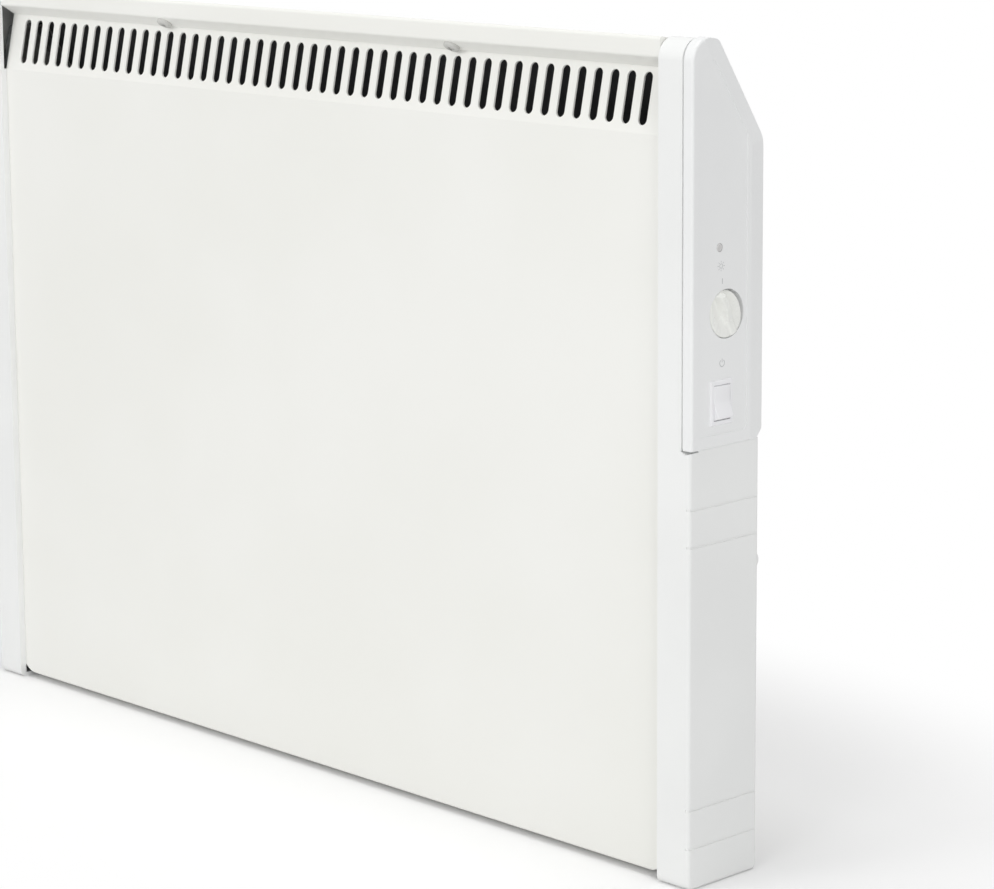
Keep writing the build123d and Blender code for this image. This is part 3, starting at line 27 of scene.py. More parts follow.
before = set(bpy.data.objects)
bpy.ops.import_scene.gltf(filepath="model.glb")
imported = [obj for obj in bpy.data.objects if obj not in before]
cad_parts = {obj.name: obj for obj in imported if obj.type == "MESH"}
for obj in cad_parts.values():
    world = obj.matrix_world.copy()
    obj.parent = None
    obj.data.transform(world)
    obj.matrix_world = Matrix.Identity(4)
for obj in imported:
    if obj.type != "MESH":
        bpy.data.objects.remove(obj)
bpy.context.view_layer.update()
scene = bpy.context.scene

MM = 0.001
Y_FRONT = -0.072  # front plane of the end caps
Z_FOOT = -0.200  # feet of the end caps


def at(x, depth, height):
    """A place in millimetres: X, depth behind the end caps' front, height above their feet."""
    return Vector((x * MM, Y_FRONT + depth * MM, Z_FOOT + height * MM))


# ---- camera --------------------------------------------------------------------------------------

AZIMUTH, ELEVATION, ROLL = math.radians(45.97), math.radians(10.16), math.radians(-0.40)
CAMERA_PLACE = (1.2642, -1.1524, 0.3190)
SENSOR_WIDTH = 36
FOCAL_LENGTH = 118.81
VERTICAL_SHIFT = -0.0919
CLIP_START = 0.05

forward = Vector((
    -math.sin(AZIMUTH) * math.cos(ELEVATION),
    math.cos(AZIMUTH) * math.cos(ELEVATION),
    -math.sin(ELEVATION),
))
level = Vector((math.cos(AZIMUTH), math.sin(AZIMUTH), 0))
upright = level.cross(forward)
right = math.cos(ROLL) * level + math.sin(ROLL) * upright
up = math.cos(ROLL) * upright - math.sin(ROLL) * level

camera = bpy.data.objects.new("camera", bpy.data.cameras.new("camera"))
scene.collection.objects.link(camera)
camera.matrix_world = Matrix((right, up, -forward)).transposed().to_4x4()
camera.location = CAMERA_PLACE
camera.data.sensor_width = SENSOR_WIDTH
camera.data.lens = FOCAL_LENGTH
camera.data.shift_y = VERTICAL_SHIFT
camera.data.clip_start = CLIP_START
scene.camera = camera

scene.view_settings.view_transform = "Standard"


# ---- materials -----------------------------------------------------------------------------------

NOISE_ROUGHNESS = 0.55


def srgb(levels):
    """Linear colour from three levels of 0 to 255."""
    parts = [level / 255 for level in levels]
    return [p / 12.92 if p <= 0.04045 else ((p + 0.055) / 1.055) ** 2.4 for p in parts] + [1.0]


def grey(value):
    """Linear grey."""
    return (value, value, value, 1)


class Finish:
    """A material with a Principled shader, and short ways to add procedural detail to it."""

    def __init__(self, name, metallic=0.0, specular=0.5):
        self.material = bpy.data.materials.new(name)
        self.material.use_nodes = True
        self.tree = self.material.node_tree
        self.shader = self.tree.nodes["Principled BSDF"]
        self.shader.inputs["Metallic"].default_value = metallic
        self.shader.inputs["Specular IOR Level"].default_value = specular
        self.place = self.tree.nodes.new("ShaderNodeTexCoord").outputs["Object"]

    def node(self, kind, **settings):
        made = self.tree.nodes.new(kind)
        for key, value in settings.items():
            setattr(made, key, value)
        return made

    def join(self, source, target):
        self.tree.links.new(source, target)

    def noise(self, scale, detail, stretch=None):
        place = self.place
        if stretch:
            turn = self.node("ShaderNodeMapping")
            turn.inputs["Scale"].default_value = stretch
            self.join(place, turn.inputs["Vector"])
            place = turn.outputs["Vector"]
        made = self.node("ShaderNodeTexNoise")
        made.inputs["Scale"].default_value = scale
        made.inputs["Detail"].default_value = detail
        made.inputs["Roughness"].default_value = NOISE_ROUGHNESS
        self.join(place, made.inputs["Vector"])
        return made.outputs["Fac"]

    def cells(self, scale, output):
        made = self.node("ShaderNodeTexVoronoi", feature="F1")
        made.inputs["Scale"].default_value = scale
        self.join(self.place, made.inputs["Vector"])
        return made.outputs[output]

    def ramp(self, value, low, high, start=0.3, end=0.7):
        """A number that runs from low to high as value runs from start to end."""
        made = self.node("ShaderNodeMapRange", interpolation_type="SMOOTHSTEP")
        made.inputs["From Min"].default_value = start
        made.inputs["From Max"].default_value = end
        made.inputs["To Min"].default_value = low
        made.inputs["To Max"].default_value = high
        self.join(value, made.inputs["Value"])
        return made.outputs["Result"]

    def tint(self, value, low, high, start=0.3, end=0.7):
        """A colour that runs between two colours of 0 to 255 levels with value."""
        made = self.node("ShaderNodeMix", data_type="RGBA")
        made.inputs["A"].default_value = srgb(low)
        made.inputs["B"].default_value = srgb(high)
        self.join(self.ramp(value, 0, 1, start, end), made.inputs["Factor"])
        return made.outputs["Result"]

    def colour(self, value):
        self.join(value, self.shader.inputs["Base Color"])

    def roughness(self, value):
        self.join(value, self.shader.inputs["Roughness"])

    def bump(self, *layers):
        """Layers of (height, strength, distance in millimetres), the finest last."""
        under = None
        for height, strength, distance in layers:
            made = self.node("ShaderNodeBump")
            made.inputs["Strength"].default_value = strength
            made.inputs["Distance"].default_value = distance * MM
            self.join(height, made.inputs["Height"])
            if under:
                self.join(under, made.inputs["Normal"])
            under = made.outputs["Normal"]
        self.join(under, self.shader.inputs["Normal"])


def powder_coat(name, low, high, gloss=(0.34, 0.42)):
    """Baked powder paint on sheet: orange peel over a very slight waviness."""
    finish = Finish(name)
    clouds, handling = finish.noise(7, 2), finish.noise(60, 4)
    waviness, orange_peel = finish.noise(22, 1), finish.noise(620, 2)
    finish.colour(finish.tint(clouds, low, high))
    finish.roughness(finish.ramp(handling, *gloss))
    finish.bump((waviness, 0.06, 0.4), (orange_peel, 0.16, 0.03))
    return finish.material


def moulded(name, low, high, gloss=(0.34, 0.44), grain=0.10):
    """Injection-moulded plastic with a fine spark-eroded surface."""
    finish = Finish(name, specular=0.45)
    clouds, handling = finish.noise(11, 2), finish.noise(140, 3)
    waviness, erosion = finish.noise(45, 2), finish.noise(2600, 2)
    finish.colour(finish.tint(clouds, low, high))
    finish.roughness(finish.ramp(handling, *gloss))
    finish.bump((waviness, 0.05, 0.1), (erosion, grain, 0.012))
    return finish.material


def plated(name, low, high, spangle, gloss=(0.30, 0.48)):
    """Galvanised or plated sheet with faint crystals and rolling marks."""
    finish = Finish(name, metallic=1.0)
    crystals, crystal_edges = finish.cells(spangle, "Color"), finish.cells(spangle, "Distance")
    stains, rolling = finish.noise(90, 4), finish.noise(240, 3, stretch=(0.05, 1, 1))
    finish.colour(finish.tint(crystals, low, high, start=0.1, end=0.9))
    finish.roughness(finish.ramp(stains, *gloss))
    finish.bump((rolling, 0.08, 0.02), (crystal_edges, 0.05, 0.02))
    return finish.material


def turned(name, low, high, gloss=(0.22, 0.36)):
    """Plated screw or rod with fine drawing marks."""
    finish = Finish(name, metallic=1.0)
    stains, handling = finish.noise(900, 3), finish.noise(1500, 3)
    drawing = finish.noise(1800, 3, stretch=(0.2, 1, 1))
    finish.colour(finish.tint(stains, low, high))
    finish.roughness(finish.ramp(handling, *gloss))
    finish.bump((drawing, 0.12, 0.01))
    return finish.material


def matt(name, low, high, scale=500, gloss=(0.55, 0.75), depth=0.03):
    """Rubber, ceramic, circuit board or fibre sleeve, its grain as fine as scale."""
    finish = Finish(name, specular=0.35)
    clouds, handling = finish.noise(scale / 6, 3), finish.noise(scale / 3, 3)
    grain = finish.noise(scale, 4)
    finish.colour(finish.tint(clouds, low, high))
    finish.roughness(finish.ramp(handling, *gloss))
    finish.bump((grain, 0.25, depth))
    return finish.material


def glassy(name, low, high):
    """Smooth clear plastic over a pale ground."""
    finish = Finish(name, specular=0.6)
    clouds, handling, waviness = finish.noise(300, 2), finish.noise(400, 2), finish.noise(900, 2)
    finish.colour(finish.tint(clouds, low, high))
    finish.roughness(finish.ramp(handling, 0.06, 0.14))
    finish.bump((waviness, 0.05, 0.01))
    finish.shader.inputs["Coat Weight"].default_value = 0.6
    return finish.material


DULL = (0.6, 0.75)

panel_enamel = powder_coat("panel_enamel", (240, 240, 235), (243, 243, 239))
casing_enamel = powder_coat("casing_enamel", (235, 235, 231), (240, 240, 236), (0.38, 0.48))
screw_paint = powder_coat("screw_paint", (196, 196, 192), (206, 206, 202), (0.4, 0.5))
# Painted shade: this near-black grey stands in for the shade inside the heater, seen through the
# slots.
inside_shade_coat = powder_coat("inside_shade_coat", (58, 59, 60), (68, 69, 70), DULL)
# Painted shade: this mid grey stands in for the shade on the left plate's inner side, seen through
# the gap beside the grille's left end.
plate_shade_coat = powder_coat("plate_shade_coat", (150, 150, 146), (160, 160, 156), DULL)
cap_plastic = moulded("cap_plastic", (238, 239, 238), (242, 243, 242))
housing_plastic = moulded("housing_plastic", (238, 239, 239), (242, 243, 243), (0.30, 0.40))
knob_plastic = moulded("knob_plastic", (240, 241, 236), (244, 245, 241), (0.24, 0.34))
switch_plastic = moulded("switch_plastic", (241, 241, 244), (246, 246, 248), (0.16, 0.26), 0.04)
mark_ink = moulded("mark_ink", (190, 191, 192), (200, 201, 202), (0.45, 0.6))
tray_plastic = moulded("tray_plastic", (60, 62, 64), (70, 72, 74))
black_plastic = moulded("black_plastic", (34, 34, 36), (44, 44, 46))
block_plastic = moulded("block_plastic", (206, 204, 196), (216, 214, 208))
galvanised = plated("galvanised", (164, 166, 168), (182, 184, 186), 210)
bracket_zinc = plated("bracket_zinc", (182, 184, 186), (198, 199, 200), 170)
shield_aluminium = plated(
    "shield_aluminium", (212, 213, 214), (222, 223, 224), 240, (0.18, 0.30)
)
fin_aluminium = plated("fin_aluminium", (150, 151, 152), (176, 177, 178), 120, (0.34, 0.5))
screw_zinc = turned("screw_zinc", (170, 170, 168), (204, 204, 202))
rod_steel = turned("rod_steel", (120, 116, 110), (150, 146, 140), (0.3, 0.46))
ceramic = matt("ceramic", (214, 210, 200), (226, 223, 214), 700)
circuit_board = matt("circuit_board", (40, 82, 52), (52, 98, 62), 900, (0.3, 0.45), 0.01)
black_rubber = matt("black_rubber", (30, 30, 30), (42, 42, 42))
lead_cover = matt("lead_cover", (196, 192, 182), (214, 210, 202), 1200)
lens = glassy("lens", (204, 203, 202), (214, 213, 212))

CAD_FINISHES = {
    "front_panel": panel_enamel,
    "top_rail": panel_enamel,
    "rear_casing": casing_enamel,
    "left_end_cap": cap_plastic,
    "right_end_cap": cap_plastic,
    "left_end_plate": galvanised,
    "right_end_plate": galvanised,
    "band_screws": screw_paint,
    "casing_screws": screw_zinc,
    "cap_screws": screw_zinc,
    "board_screws": screw_zinc,
    "wire_grommet": black_rubber,
    "element_body": fin_aluminium,
    "element_rod": rod_steel,
    "element_end_seals": ceramic,
    "element_terminals": screw_zinc,
    "element_leads": lead_cover,
    "element_hanger_left": galvanised,
    "element_hanger_right": galvanised,
    "hanger_bushes": ceramic,
    "heat_shield": shield_aluminium,
    "cutout_bracket": galvanised,
    "thermal_cutout": black_plastic,
    "control_housing": housing_plastic,
    "module_tray": tray_plastic,
    "control_board": circuit_board,
    "board_components": black_plastic,
    "potentiometer": black_plastic,
    "knob_spindle": block_plastic,
    "thermostat_knob": knob_plastic,
    "switch_body": switch_plastic,
    "switch_rocker": switch_plastic,
    "indicator_lens": lens,
    "terminal_block": block_plastic,
    "cable_gland": cap_plastic,
    "bracket_rail_left": bracket_zinc,
    "bracket_rail_right": bracket_zinc,
    "bracket_bar_lower": bracket_zinc,
    "bracket_bar_upper": bracket_zinc,
    "bracket_rivets": screw_zinc,
}

for name, finish in CAD_FINISHES.items():
    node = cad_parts[name]
    node.data.materials.clear()
    node.data.materials.append(finish)
    for face in node.data.polygons:
        face.material_index = 0

FACING = 0.3  # least part of a face's normal for it to count as facing that way
FLOOR_FACING = 0.6  # the same for the casing's floor, to leave out its bends and beads
FLOOR_BELOW = -0.15  # Z under which the casing's floor lies


def coat(name, finish, chosen):
    """Gives some faces of a sheet a finish of their own."""
    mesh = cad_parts[name].data
    mesh.materials.append(finish)
    for face in mesh.polygons:
        if chosen(face):
            face.material_index = len(mesh.materials) - 1


def inside_casing(face):
    """Whether a face of the rear casing looks to the front, or up from its floor: the faces that
    get the painted shade.
    """
    on_floor = face.normal.z > FLOOR_FACING and face.center.z < FLOOR_BELOW
    return face.normal.y < -FACING or on_floor


# Painted shade: the dark grey on the casing's inside and the panel's back stands in for the shade
# there.
coat("rear_casing", inside_shade_coat, inside_casing)
coat("front_panel", inside_shade_coat, lambda face: face.normal.y > FACING)
# Painted shade: the left plate's inner side gets the mid grey in place of the shade there.
coat("left_end_plate", plate_shade_coat, lambda face: face.normal.x > FACING)
coat("left_end_plate", casing_enamel, lambda face: face.normal.x < -FACING)
# The same painted shade on the right plate's inner side.
coat("right_end_plate", inside_shade_coat, lambda face: face.normal.x < -FACING)
coat("right_end_plate", casing_enamel, lambda face: face.normal.x > FACING)


# ---- making pieces -------------------------------------------------------------------------------

WELD = 1e-6  # vertices nearer than this become one, in metres


def finished(shape, name, body, finish, replaces=None, smooth=30):
    """The bmesh as an object on a CAD body, shaded smooth up to an angle in degrees."""
    bmesh.ops.recalc_face_normals(shape, faces=shape.faces)
    mesh = bpy.data.meshes.new(name)
    shape.to_mesh(mesh)
    shape.free()
    mesh.materials.append(finish)
    piece = bpy.data.objects.new(name, mesh)
    scene.collection.objects.link(piece)
    if smooth:
        mesh.shade_smooth()
        mesh.set_sharp_from_angle(angle=math.radians(smooth))
    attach(piece, body)
    if replaces:
        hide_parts(replaces)


def only_vertices(geometry):
    """The vertices among what a bmesh operator made."""
    return [part for part in geometry if isinstance(part, bmesh.types.BMVert)]


def whole_faces(faces):
    """Faces with their edges and vertices, each once."""
    edges = dict.fromkeys(edge for face in faces for edge in face.edges)
    verts = dict.fromkeys(vert for face in faces for vert in face.verts)
    return [*faces, *edges, *verts]


def joined(shapes, places):
    """One bmesh with each shape moved to its place, which uses the shapes up."""
    whole = bmesh.new()
    for shape, place in zip(shapes, places):
        mesh = bpy.data.meshes.new("copy")
        shape.to_mesh(mesh)
        shape.free()
        count = len(whole.verts)
        whole.from_mesh(mesh)
        bpy.data.meshes.remove(mesh)
        whole.verts.ensure_lookup_table()
        bmesh.ops.transform(whole, matrix=place, verts=whole.verts[count:])
    return whole


def spun(shape, profile, steps=32):
    """Turns a profile of (radius, height) round Z; a radius of 0 closes it on the axis."""
    points = [shape.verts.new((radius, 0, height)) for radius, height in profile]
    edges = [shape.edges.new(pair) for pair in zip(points, points[1:])]
    bmesh.ops.spin(
        shape, geom=points + edges, cent=(0, 0, 0), axis=(0, 0, 1), angle=math.tau,
        steps=steps, use_merge=True,
    )
    bmesh.ops.remove_doubles(shape, verts=shape.verts, dist=WELD)


def facing(place, outward, turn=0.0):
    """Matrix that stands a shape at a place with its Z along outward, turned by degrees."""
    aim = Vector(outward).to_track_quat("Z", "Y").to_matrix().to_4x4()
    return Matrix.Translation(place) @ aim @ Matrix.Rotation(math.radians(turn), 4, "Z")


# ---- screws and rivets ---------------------------------------------------------------------------

DOME_STEPS = 6
HEAD_FLAT, HEAD_ROUND = 0.45, 0.55  # parts of a pan head's radius
HEAD_BRIM, HEAD_DOME = 0.42, 0.58  # parts of its rise
HEAD_CROWN = 0.6  # part of the rise above which the cross is cut
CROSS_ARM, CROSS_HALF_WIDTH = 0.5, 0.13  # parts of the radius
CROSS_FLOOR = 0.35  # part of the rise
CROSS_TAPER = 0.72  # the cross at its floor to the cross at its mouth

BAND_HEAD = (4.2 * MM, 2.2 * MM)  # radius and rise
BAND_SLOPE = math.radians(31.5)
BAND_SCREW_X = 111.0
BAND_SCREW_DEPTH = 5.735
BAND_SCREW_HEIGHT = 386.22
BAND_TURNS = ((-1, 20), (1, -12))  # side, and degrees that the cross is turned

CASING_HEAD = (3.4 * MM, 1.8 * MM)
CASING_SCREW_X = 248.6
CASING_SEAT = 45.6  # depth of the casing's back
CASING_LOW, CASING_HIGH = 70, 320
CASING_TURNS = (  # side, height, and degrees that the cross is turned
    (-1, CASING_LOW, 8), (1, CASING_LOW, 33), (-1, CASING_HIGH, -20), (1, CASING_HIGH, 12),
)

RIVET_RADIUS, RIVET_RISE, RIVET_HOLE = 3.6 * MM, 1.2 * MM, 0.9 * MM
RIVET_STEPS = 5
RIVET_SPIN = 24
MANDREL_TOP, RIVET_EDGE = 0.2, 0.92  # parts of the rise
RIVET_FLAT = 1.3  # radius of its flat top to its hole's
RIVET_BRIM, RIVET_DOME = 0.3, 0.7  # parts of the rise
RIVET_SEAT = -3.0  # Y of the bracket's face, in millimetres
RIVET_X = (-138, -122, 122, 138)
RIVET_Z = (-100, 100)


def pan_screw(radius, rise):
    """A pan head with a cross recess, standing on Z = 0."""
    shape = bmesh.new()
    dome = [(0, rise)]
    for step in range(1, DOME_STEPS + 1):
        angle = step / DOME_STEPS * math.pi / 2
        dome.append((
            radius * (HEAD_FLAT + HEAD_ROUND * math.sin(angle)),
            rise * (HEAD_BRIM + HEAD_DOME * math.cos(angle)),
        ))
    spun(shape, dome + [(radius, 0), (0, 0)])
    arm, half, crown = radius * CROSS_ARM, radius * CROSS_HALF_WIDTH, rise * HEAD_CROWN
    for side in (-1, 1):
        for axis in ((1, 0, 0), (0, 1, 0)):
            for reach in (arm, half):
                near = [face for face in shape.faces if face.calc_center_median().z > crown]
                bmesh.ops.bisect_plane(
                    shape, geom=whole_faces(near),
                    plane_co=[side * reach * part for part in axis], plane_no=axis,
                )
    inside = []
    for face in shape.faces:
        middle = face.calc_center_median()
        across, along = sorted((abs(middle.x), abs(middle.y)))
        if middle.z > crown and across < half and along < arm:
            inside.append(face)
    sunk = bmesh.ops.extrude_face_region(shape, geom=inside)["geom"]
    bmesh.ops.delete(shape, geom=inside, context="FACES")
    for vertex in only_vertices(sunk):
        vertex.co.z = rise * CROSS_FLOOR
        vertex.co.xy *= CROSS_TAPER
    return shape


def blind_rivet():
    """Domed rivet head with the hole of its broken mandrel."""
    flat = RIVET_HOLE * RIVET_FLAT
    profile = [
        (0, RIVET_RISE * MANDREL_TOP),
        (RIVET_HOLE, RIVET_RISE * MANDREL_TOP),
        (RIVET_HOLE, RIVET_RISE * RIVET_EDGE),
    ]
    for step in range(RIVET_STEPS + 1):
        angle = step / RIVET_STEPS * math.pi / 2
        profile.append((
            flat + (RIVET_RADIUS - flat) * math.sin(angle),
            RIVET_RISE * (RIVET_BRIM + RIVET_DOME * math.cos(angle)),
        ))
    shape = bmesh.new()
    spun(shape, profile + [(RIVET_RADIUS, 0), (0, 0)], RIVET_SPIN)
    return shape


band_out = Vector((0, -math.sin(BAND_SLOPE), -math.cos(BAND_SLOPE)))
band_places = [
    facing(at(side * BAND_SCREW_X, BAND_SCREW_DEPTH, BAND_SCREW_HEIGHT), band_out, turn)
    for side, turn in BAND_TURNS
]
finished(  # painted over
    joined([pan_screw(*BAND_HEAD) for _ in band_places], band_places),
    "band_screw_heads", "heater", screw_paint, "band_screws",
)

casing_places = [
    facing(at(side * CASING_SCREW_X, CASING_SEAT, height), (0, 1, 0), turn)
    for side, height, turn in CASING_TURNS
]
finished(
    joined([pan_screw(*CASING_HEAD) for _ in casing_places], casing_places),
    "casing_screw_heads", "heater", screw_zinc, "casing_screws",
)

rivet_places = [
    facing((x * MM, RIVET_SEAT * MM, z * MM), (0, -1, 0)) for x in RIVET_X for z in RIVET_Z
]
finished(
    joined([blind_rivet() for _ in rivet_places], rivet_places),
    "rivet_heads", "wall_bracket", screw_zinc, "bracket_rivets",
)


# ---- rail ends -----------------------------------------------------------------------------------

RAIL_END = 252.2
RAIL_END_SHEET = 0.6
# Closes the rail's hollow at each end: depth and height of its corners, within the rail's sheet.
RAIL_END_OUTLINE = (
    (1.7, 391.3), (1.7, 397.0), (2.1, 397.7), (2.9, 397.95), (15.5, 395.5), (12.0, 385.2),
)

rail_ends = bmesh.new()
for side in (-1, 1):
    corners = [rail_ends.verts.new(at(side * RAIL_END, *corner)) for corner in RAIL_END_OUTLINE]
    face = rail_ends.faces.new(corners)
    inner = bmesh.ops.extrude_face_region(rail_ends, geom=[face])["geom"]
    bmesh.ops.translate(
        rail_ends, vec=(-side * RAIL_END_SHEET * MM, 0, 0), verts=only_vertices(inner)
    )
finished(rail_ends, "rail_end_tabs", "heater", panel_enamel)


# ---- knob ----------------------------------------------------------------------------------------

KNOB_CENTRE = at(270.5, 23.0, 271.6)
KNOB_TURN = 28  # degrees that the grip's top leans to the front
KNOB_GRID = 96
KNOB_RADIUS = 11.2
KNOB_DISC = 3.6
KNOB_ROUND = 0.8  # of its rim
FINGER_CUT = 1.6  # how far the rim is cut away behind the grip
GRIP_RISE = 2.6
GRIP_FOOT = 0.2  # part of its rise that the grip keeps at its foot
GRIP_HEAD = (-6.0, 3.0)  # along the grip, where it and the scoops grow to their full size
GRIP_END = (9.6, 10.8)  # along the grip, where it runs out at the rim
GRIP_SIDE = (1.2, 2.6)  # across it, from its crest to its foot
SCOOP_DEPTH = 1.5
SCOOP_START = (1.6, 3.0)  # across the grip, down into the scoop
SCOOP_END = (3.4, 8.6)  # and up out of it
MIDDLE = 0.001  # keeps a direction from the knob's middle defined


def smooth_step(value, start, end):
    part = min(max((value - start) / (end - start), 0), 1)
    return part * part * (3 - 2 * part)


def knob_radius(u, v):
    """The rim's radius towards (u, v), less where it is cut for a finger behind the grip."""
    return KNOB_RADIUS - FINGER_CUT * (max(-v, 0) / max(math.hypot(u, v), MIDDLE)) ** 2


def knob_height(u, v):
    """Height of the knob's face: a grip along u that runs out at its foot, scoops beside it."""
    across = abs(v)
    head = smooth_step(u, *GRIP_HEAD)
    side, end = 1 - smooth_step(across, *GRIP_SIDE), 1 - smooth_step(u, *GRIP_END)
    grip = GRIP_RISE * (GRIP_FOOT + (1 - GRIP_FOOT) * head) * side * end
    into, out = smooth_step(across, *SCOOP_START), 1 - smooth_step(across, *SCOOP_END)
    scoop = SCOOP_DEPTH * head * into * out
    rim = max(math.hypot(u, v) - (knob_radius(u, v) - KNOB_ROUND), 0)
    drop = KNOB_ROUND - math.sqrt(max(KNOB_ROUND ** 2 - rim * rim, 0))
    return KNOB_DISC - scoop + grip - drop


def knob_shape():
    """A square grid drawn into a disc, raised to the knob's face and closed underneath."""
    shape = bmesh.new()
    bmesh.ops.create_grid(shape, x_segments=KNOB_GRID, y_segments=KNOB_GRID, size=1)
    for vertex in shape.verts:
        a, b = vertex.co.x, vertex.co.y
        u, v = a * math.sqrt(1 - b * b / 2), b * math.sqrt(1 - a * a / 2)
        radius = knob_radius(u, v)
        u, v = u * radius, v * radius
        vertex.co = (u, v, knob_height(u, v))
    rim = [edge for edge in shape.edges if edge.is_boundary]
    wall = bmesh.ops.extrude_edge_only(shape, edges=rim)["geom"]
    for vertex in only_vertices(wall):
        vertex.co.z = 0
    foot = [edge for edge in shape.edges if edge.is_boundary]
    bmesh.ops.holes_fill(shape, edges=foot, sides=0)
    bmesh.ops.scale(shape, vec=(MM, MM, MM), verts=shape.verts)
    return shape


# U points along the grip: up in the side view, its top leaning to the front.
lean = math.radians(KNOB_TURN)
grip_u = Vector((0, -math.sin(lean), math.cos(lean)))
outward = Vector((1, 0, 0))
across_v = outward.cross(grip_u)
knob_frame = Matrix((grip_u, across_v, outward)).transposed().to_4x4()
knob_frame.translation = KNOB_CENTRE
knob = knob_shape()
bmesh.ops.transform(knob, matrix=knob_frame, verts=knob.verts)
finished(knob, "knob_grip", "knob", knob_plastic, "thermostat_knob", smooth=40)


# ---- rocker --------------------------------------------------------------------------------------

ROCKER_AXIS = at(272.55, 19.2, 230.9)
ROCKER_TILT = 9
ROCKER_HALF_WIDTH = 5.42
ROCKER_END = 8.3  # radius of its ends about the pins
ROCKER_TIP = 4.0
ROCKER_VALLEY = 2.6
ROCKER_CURVE = 1.3  # power by which its face rises from the valley to the tips
ROCKER_SKIRT = math.radians(8)  # how far its round ends run on past the pins' plane
ROCKER_BACK = (-2.6, 2.4)  # corner of its hidden back
ROCKER_EDGE = 0.45
FACE_STEPS, END_STEPS = 6, 4
NEAR = 0.01  # millimetres within which two places are the same
ABOVE_SKIRT = 3  # the tips' edges are further out than this


def rocker_shape():
    """Rocker in section about its pins: X out of the housing, Z along it, drawn out across Y."""
    shape = bmesh.new()
    tip = math.sqrt(ROCKER_END ** 2 - ROCKER_TIP ** 2)
    half = []
    for step in range(1, FACE_STEPS + 1):
        along = step / FACE_STEPS
        rise = (ROCKER_TIP - ROCKER_VALLEY) * along ** ROCKER_CURVE
        half.append((ROCKER_VALLEY + rise, tip * along))
    for step in range(1, END_STEPS + 1):
        part = step / END_STEPS
        angle = math.asin(ROCKER_TIP / ROCKER_END) * (1 - part) - ROCKER_SKIRT * part
        half.append((ROCKER_END * math.sin(angle), ROCKER_END * math.cos(angle)))
    half.append(ROCKER_BACK)
    section = [(ROCKER_VALLEY, 0)] + half + [(out, -along) for out, along in reversed(half)]
    corners = [shape.verts.new((out, -ROCKER_HALF_WIDTH, along)) for out, along in section]
    face = shape.faces.new(corners)
    far = bmesh.ops.extrude_face_region(shape, geom=[face])["geom"]
    bmesh.ops.translate(shape, vec=(0, 2 * ROCKER_HALF_WIDTH, 0), verts=only_vertices(far))

    def on_side(edge):
        return abs(edge.verts[0].co.y - edge.verts[1].co.y) < NEAR

    def on_tip(edge):
        return all(abs(abs(v.co.z) - tip) < NEAR and v.co.x > ABOVE_SKIRT for v in edge.verts)

    bmesh.ops.bevel(
        shape, geom=[edge for edge in shape.edges if on_side(edge) or on_tip(edge)],
        offset=ROCKER_EDGE, offset_type="OFFSET", affect="EDGES", segments=3, profile=0.5,
        material=-1, clamp_overlap=True,
    )
    bmesh.ops.scale(shape, vec=(MM, MM, MM), verts=shape.verts)
    return shape


rocker_tilt = Matrix.Rotation(math.radians(-ROCKER_TILT), 4, "Y")
rocker_place = Matrix.Translation(ROCKER_AXIS) @ rocker_tilt
rocker = rocker_shape()
bmesh.ops.transform(rocker, matrix=rocker_place, verts=rocker.verts)
finished(
    rocker, "rocker_face", "rocker", switch_plastic, "switch_rocker", smooth=35
)


# ---- printed marks -------------------------------------------------------------------------------

FIELD_FACE = 273.95  # X of the control housing's sunk field
INK = 0.03  # thickness of the marks
STROKE_STEPS, ARC_STEPS = 16, 28

# Depth and height of the marks' middles.
HEAT_MARK = (19.1, 294.0)
POINTER_MARK = (20.0, 287.0)
POWER_MARK = (20.1, 249.0)

HEAT_RING = 1.0
HEAT_WIDTH = 0.3
RAY_LENGTH = 0.9
RAY_PLACE = 2.0  # from the ring's middle to a ray's
RAY_ANGLES = range(0, 360, 45)
POINTER_LENGTH, POINTER_WIDTH = 2.6, 0.5
POWER_RING = 1.6
POWER_WIDTH = 0.45
POWER_START, POWER_SWEEP = 125, 290
POWER_BAR = 1.9
POWER_BAR_PLACE = (0, 1.2)


def stroke(length, width, place=(0, 0), turn=0.0):
    """A round-ended stroke of ink, centred on a place, its length upwards before it is turned."""
    shape = bmesh.new()
    bmesh.ops.create_circle(shape, cap_ends=True, segments=STROKE_STEPS, radius=width / 2)
    for vertex in shape.verts:
        vertex.co.y += math.copysign((length - width) / 2, vertex.co.y)
    top = bmesh.ops.extrude_face_region(shape, geom=shape.faces[:])["geom"]
    bmesh.ops.translate(shape, vec=(0, 0, INK), verts=only_vertices(top))
    aim = Matrix.Translation((*place, 0)) @ Matrix.Rotation(math.radians(turn), 4, "Z")
    bmesh.ops.transform(shape, matrix=aim, verts=shape.verts)
    return shape


def arc(radius, width, start=0.0, sweep=360.0):
    """A ring or part of one, from a start angle round by sweep, in degrees."""
    shape = bmesh.new()
    near, far = radius - width / 2, radius + width / 2
    corners = [(near, 0), (far, 0), (far, INK), (near, INK)]
    face = shape.faces.new([shape.verts.new((out, 0, rise)) for out, rise in corners])
    full = sweep == 360
    bmesh.ops.spin(
        shape, geom=whole_faces([face]), cent=(0, 0, 0), axis=(0, 0, 1),
        angle=math.radians(sweep), steps=ARC_STEPS, use_merge=full,
    )
    if full:
        bmesh.ops.delete(shape, geom=[face], context="FACES_ONLY")
    turn = Matrix.Rotation(math.radians(start), 3, "Z")
    bmesh.ops.rotate(shape, cent=(0, 0, 0), matrix=turn, verts=shape.verts)
    return shape


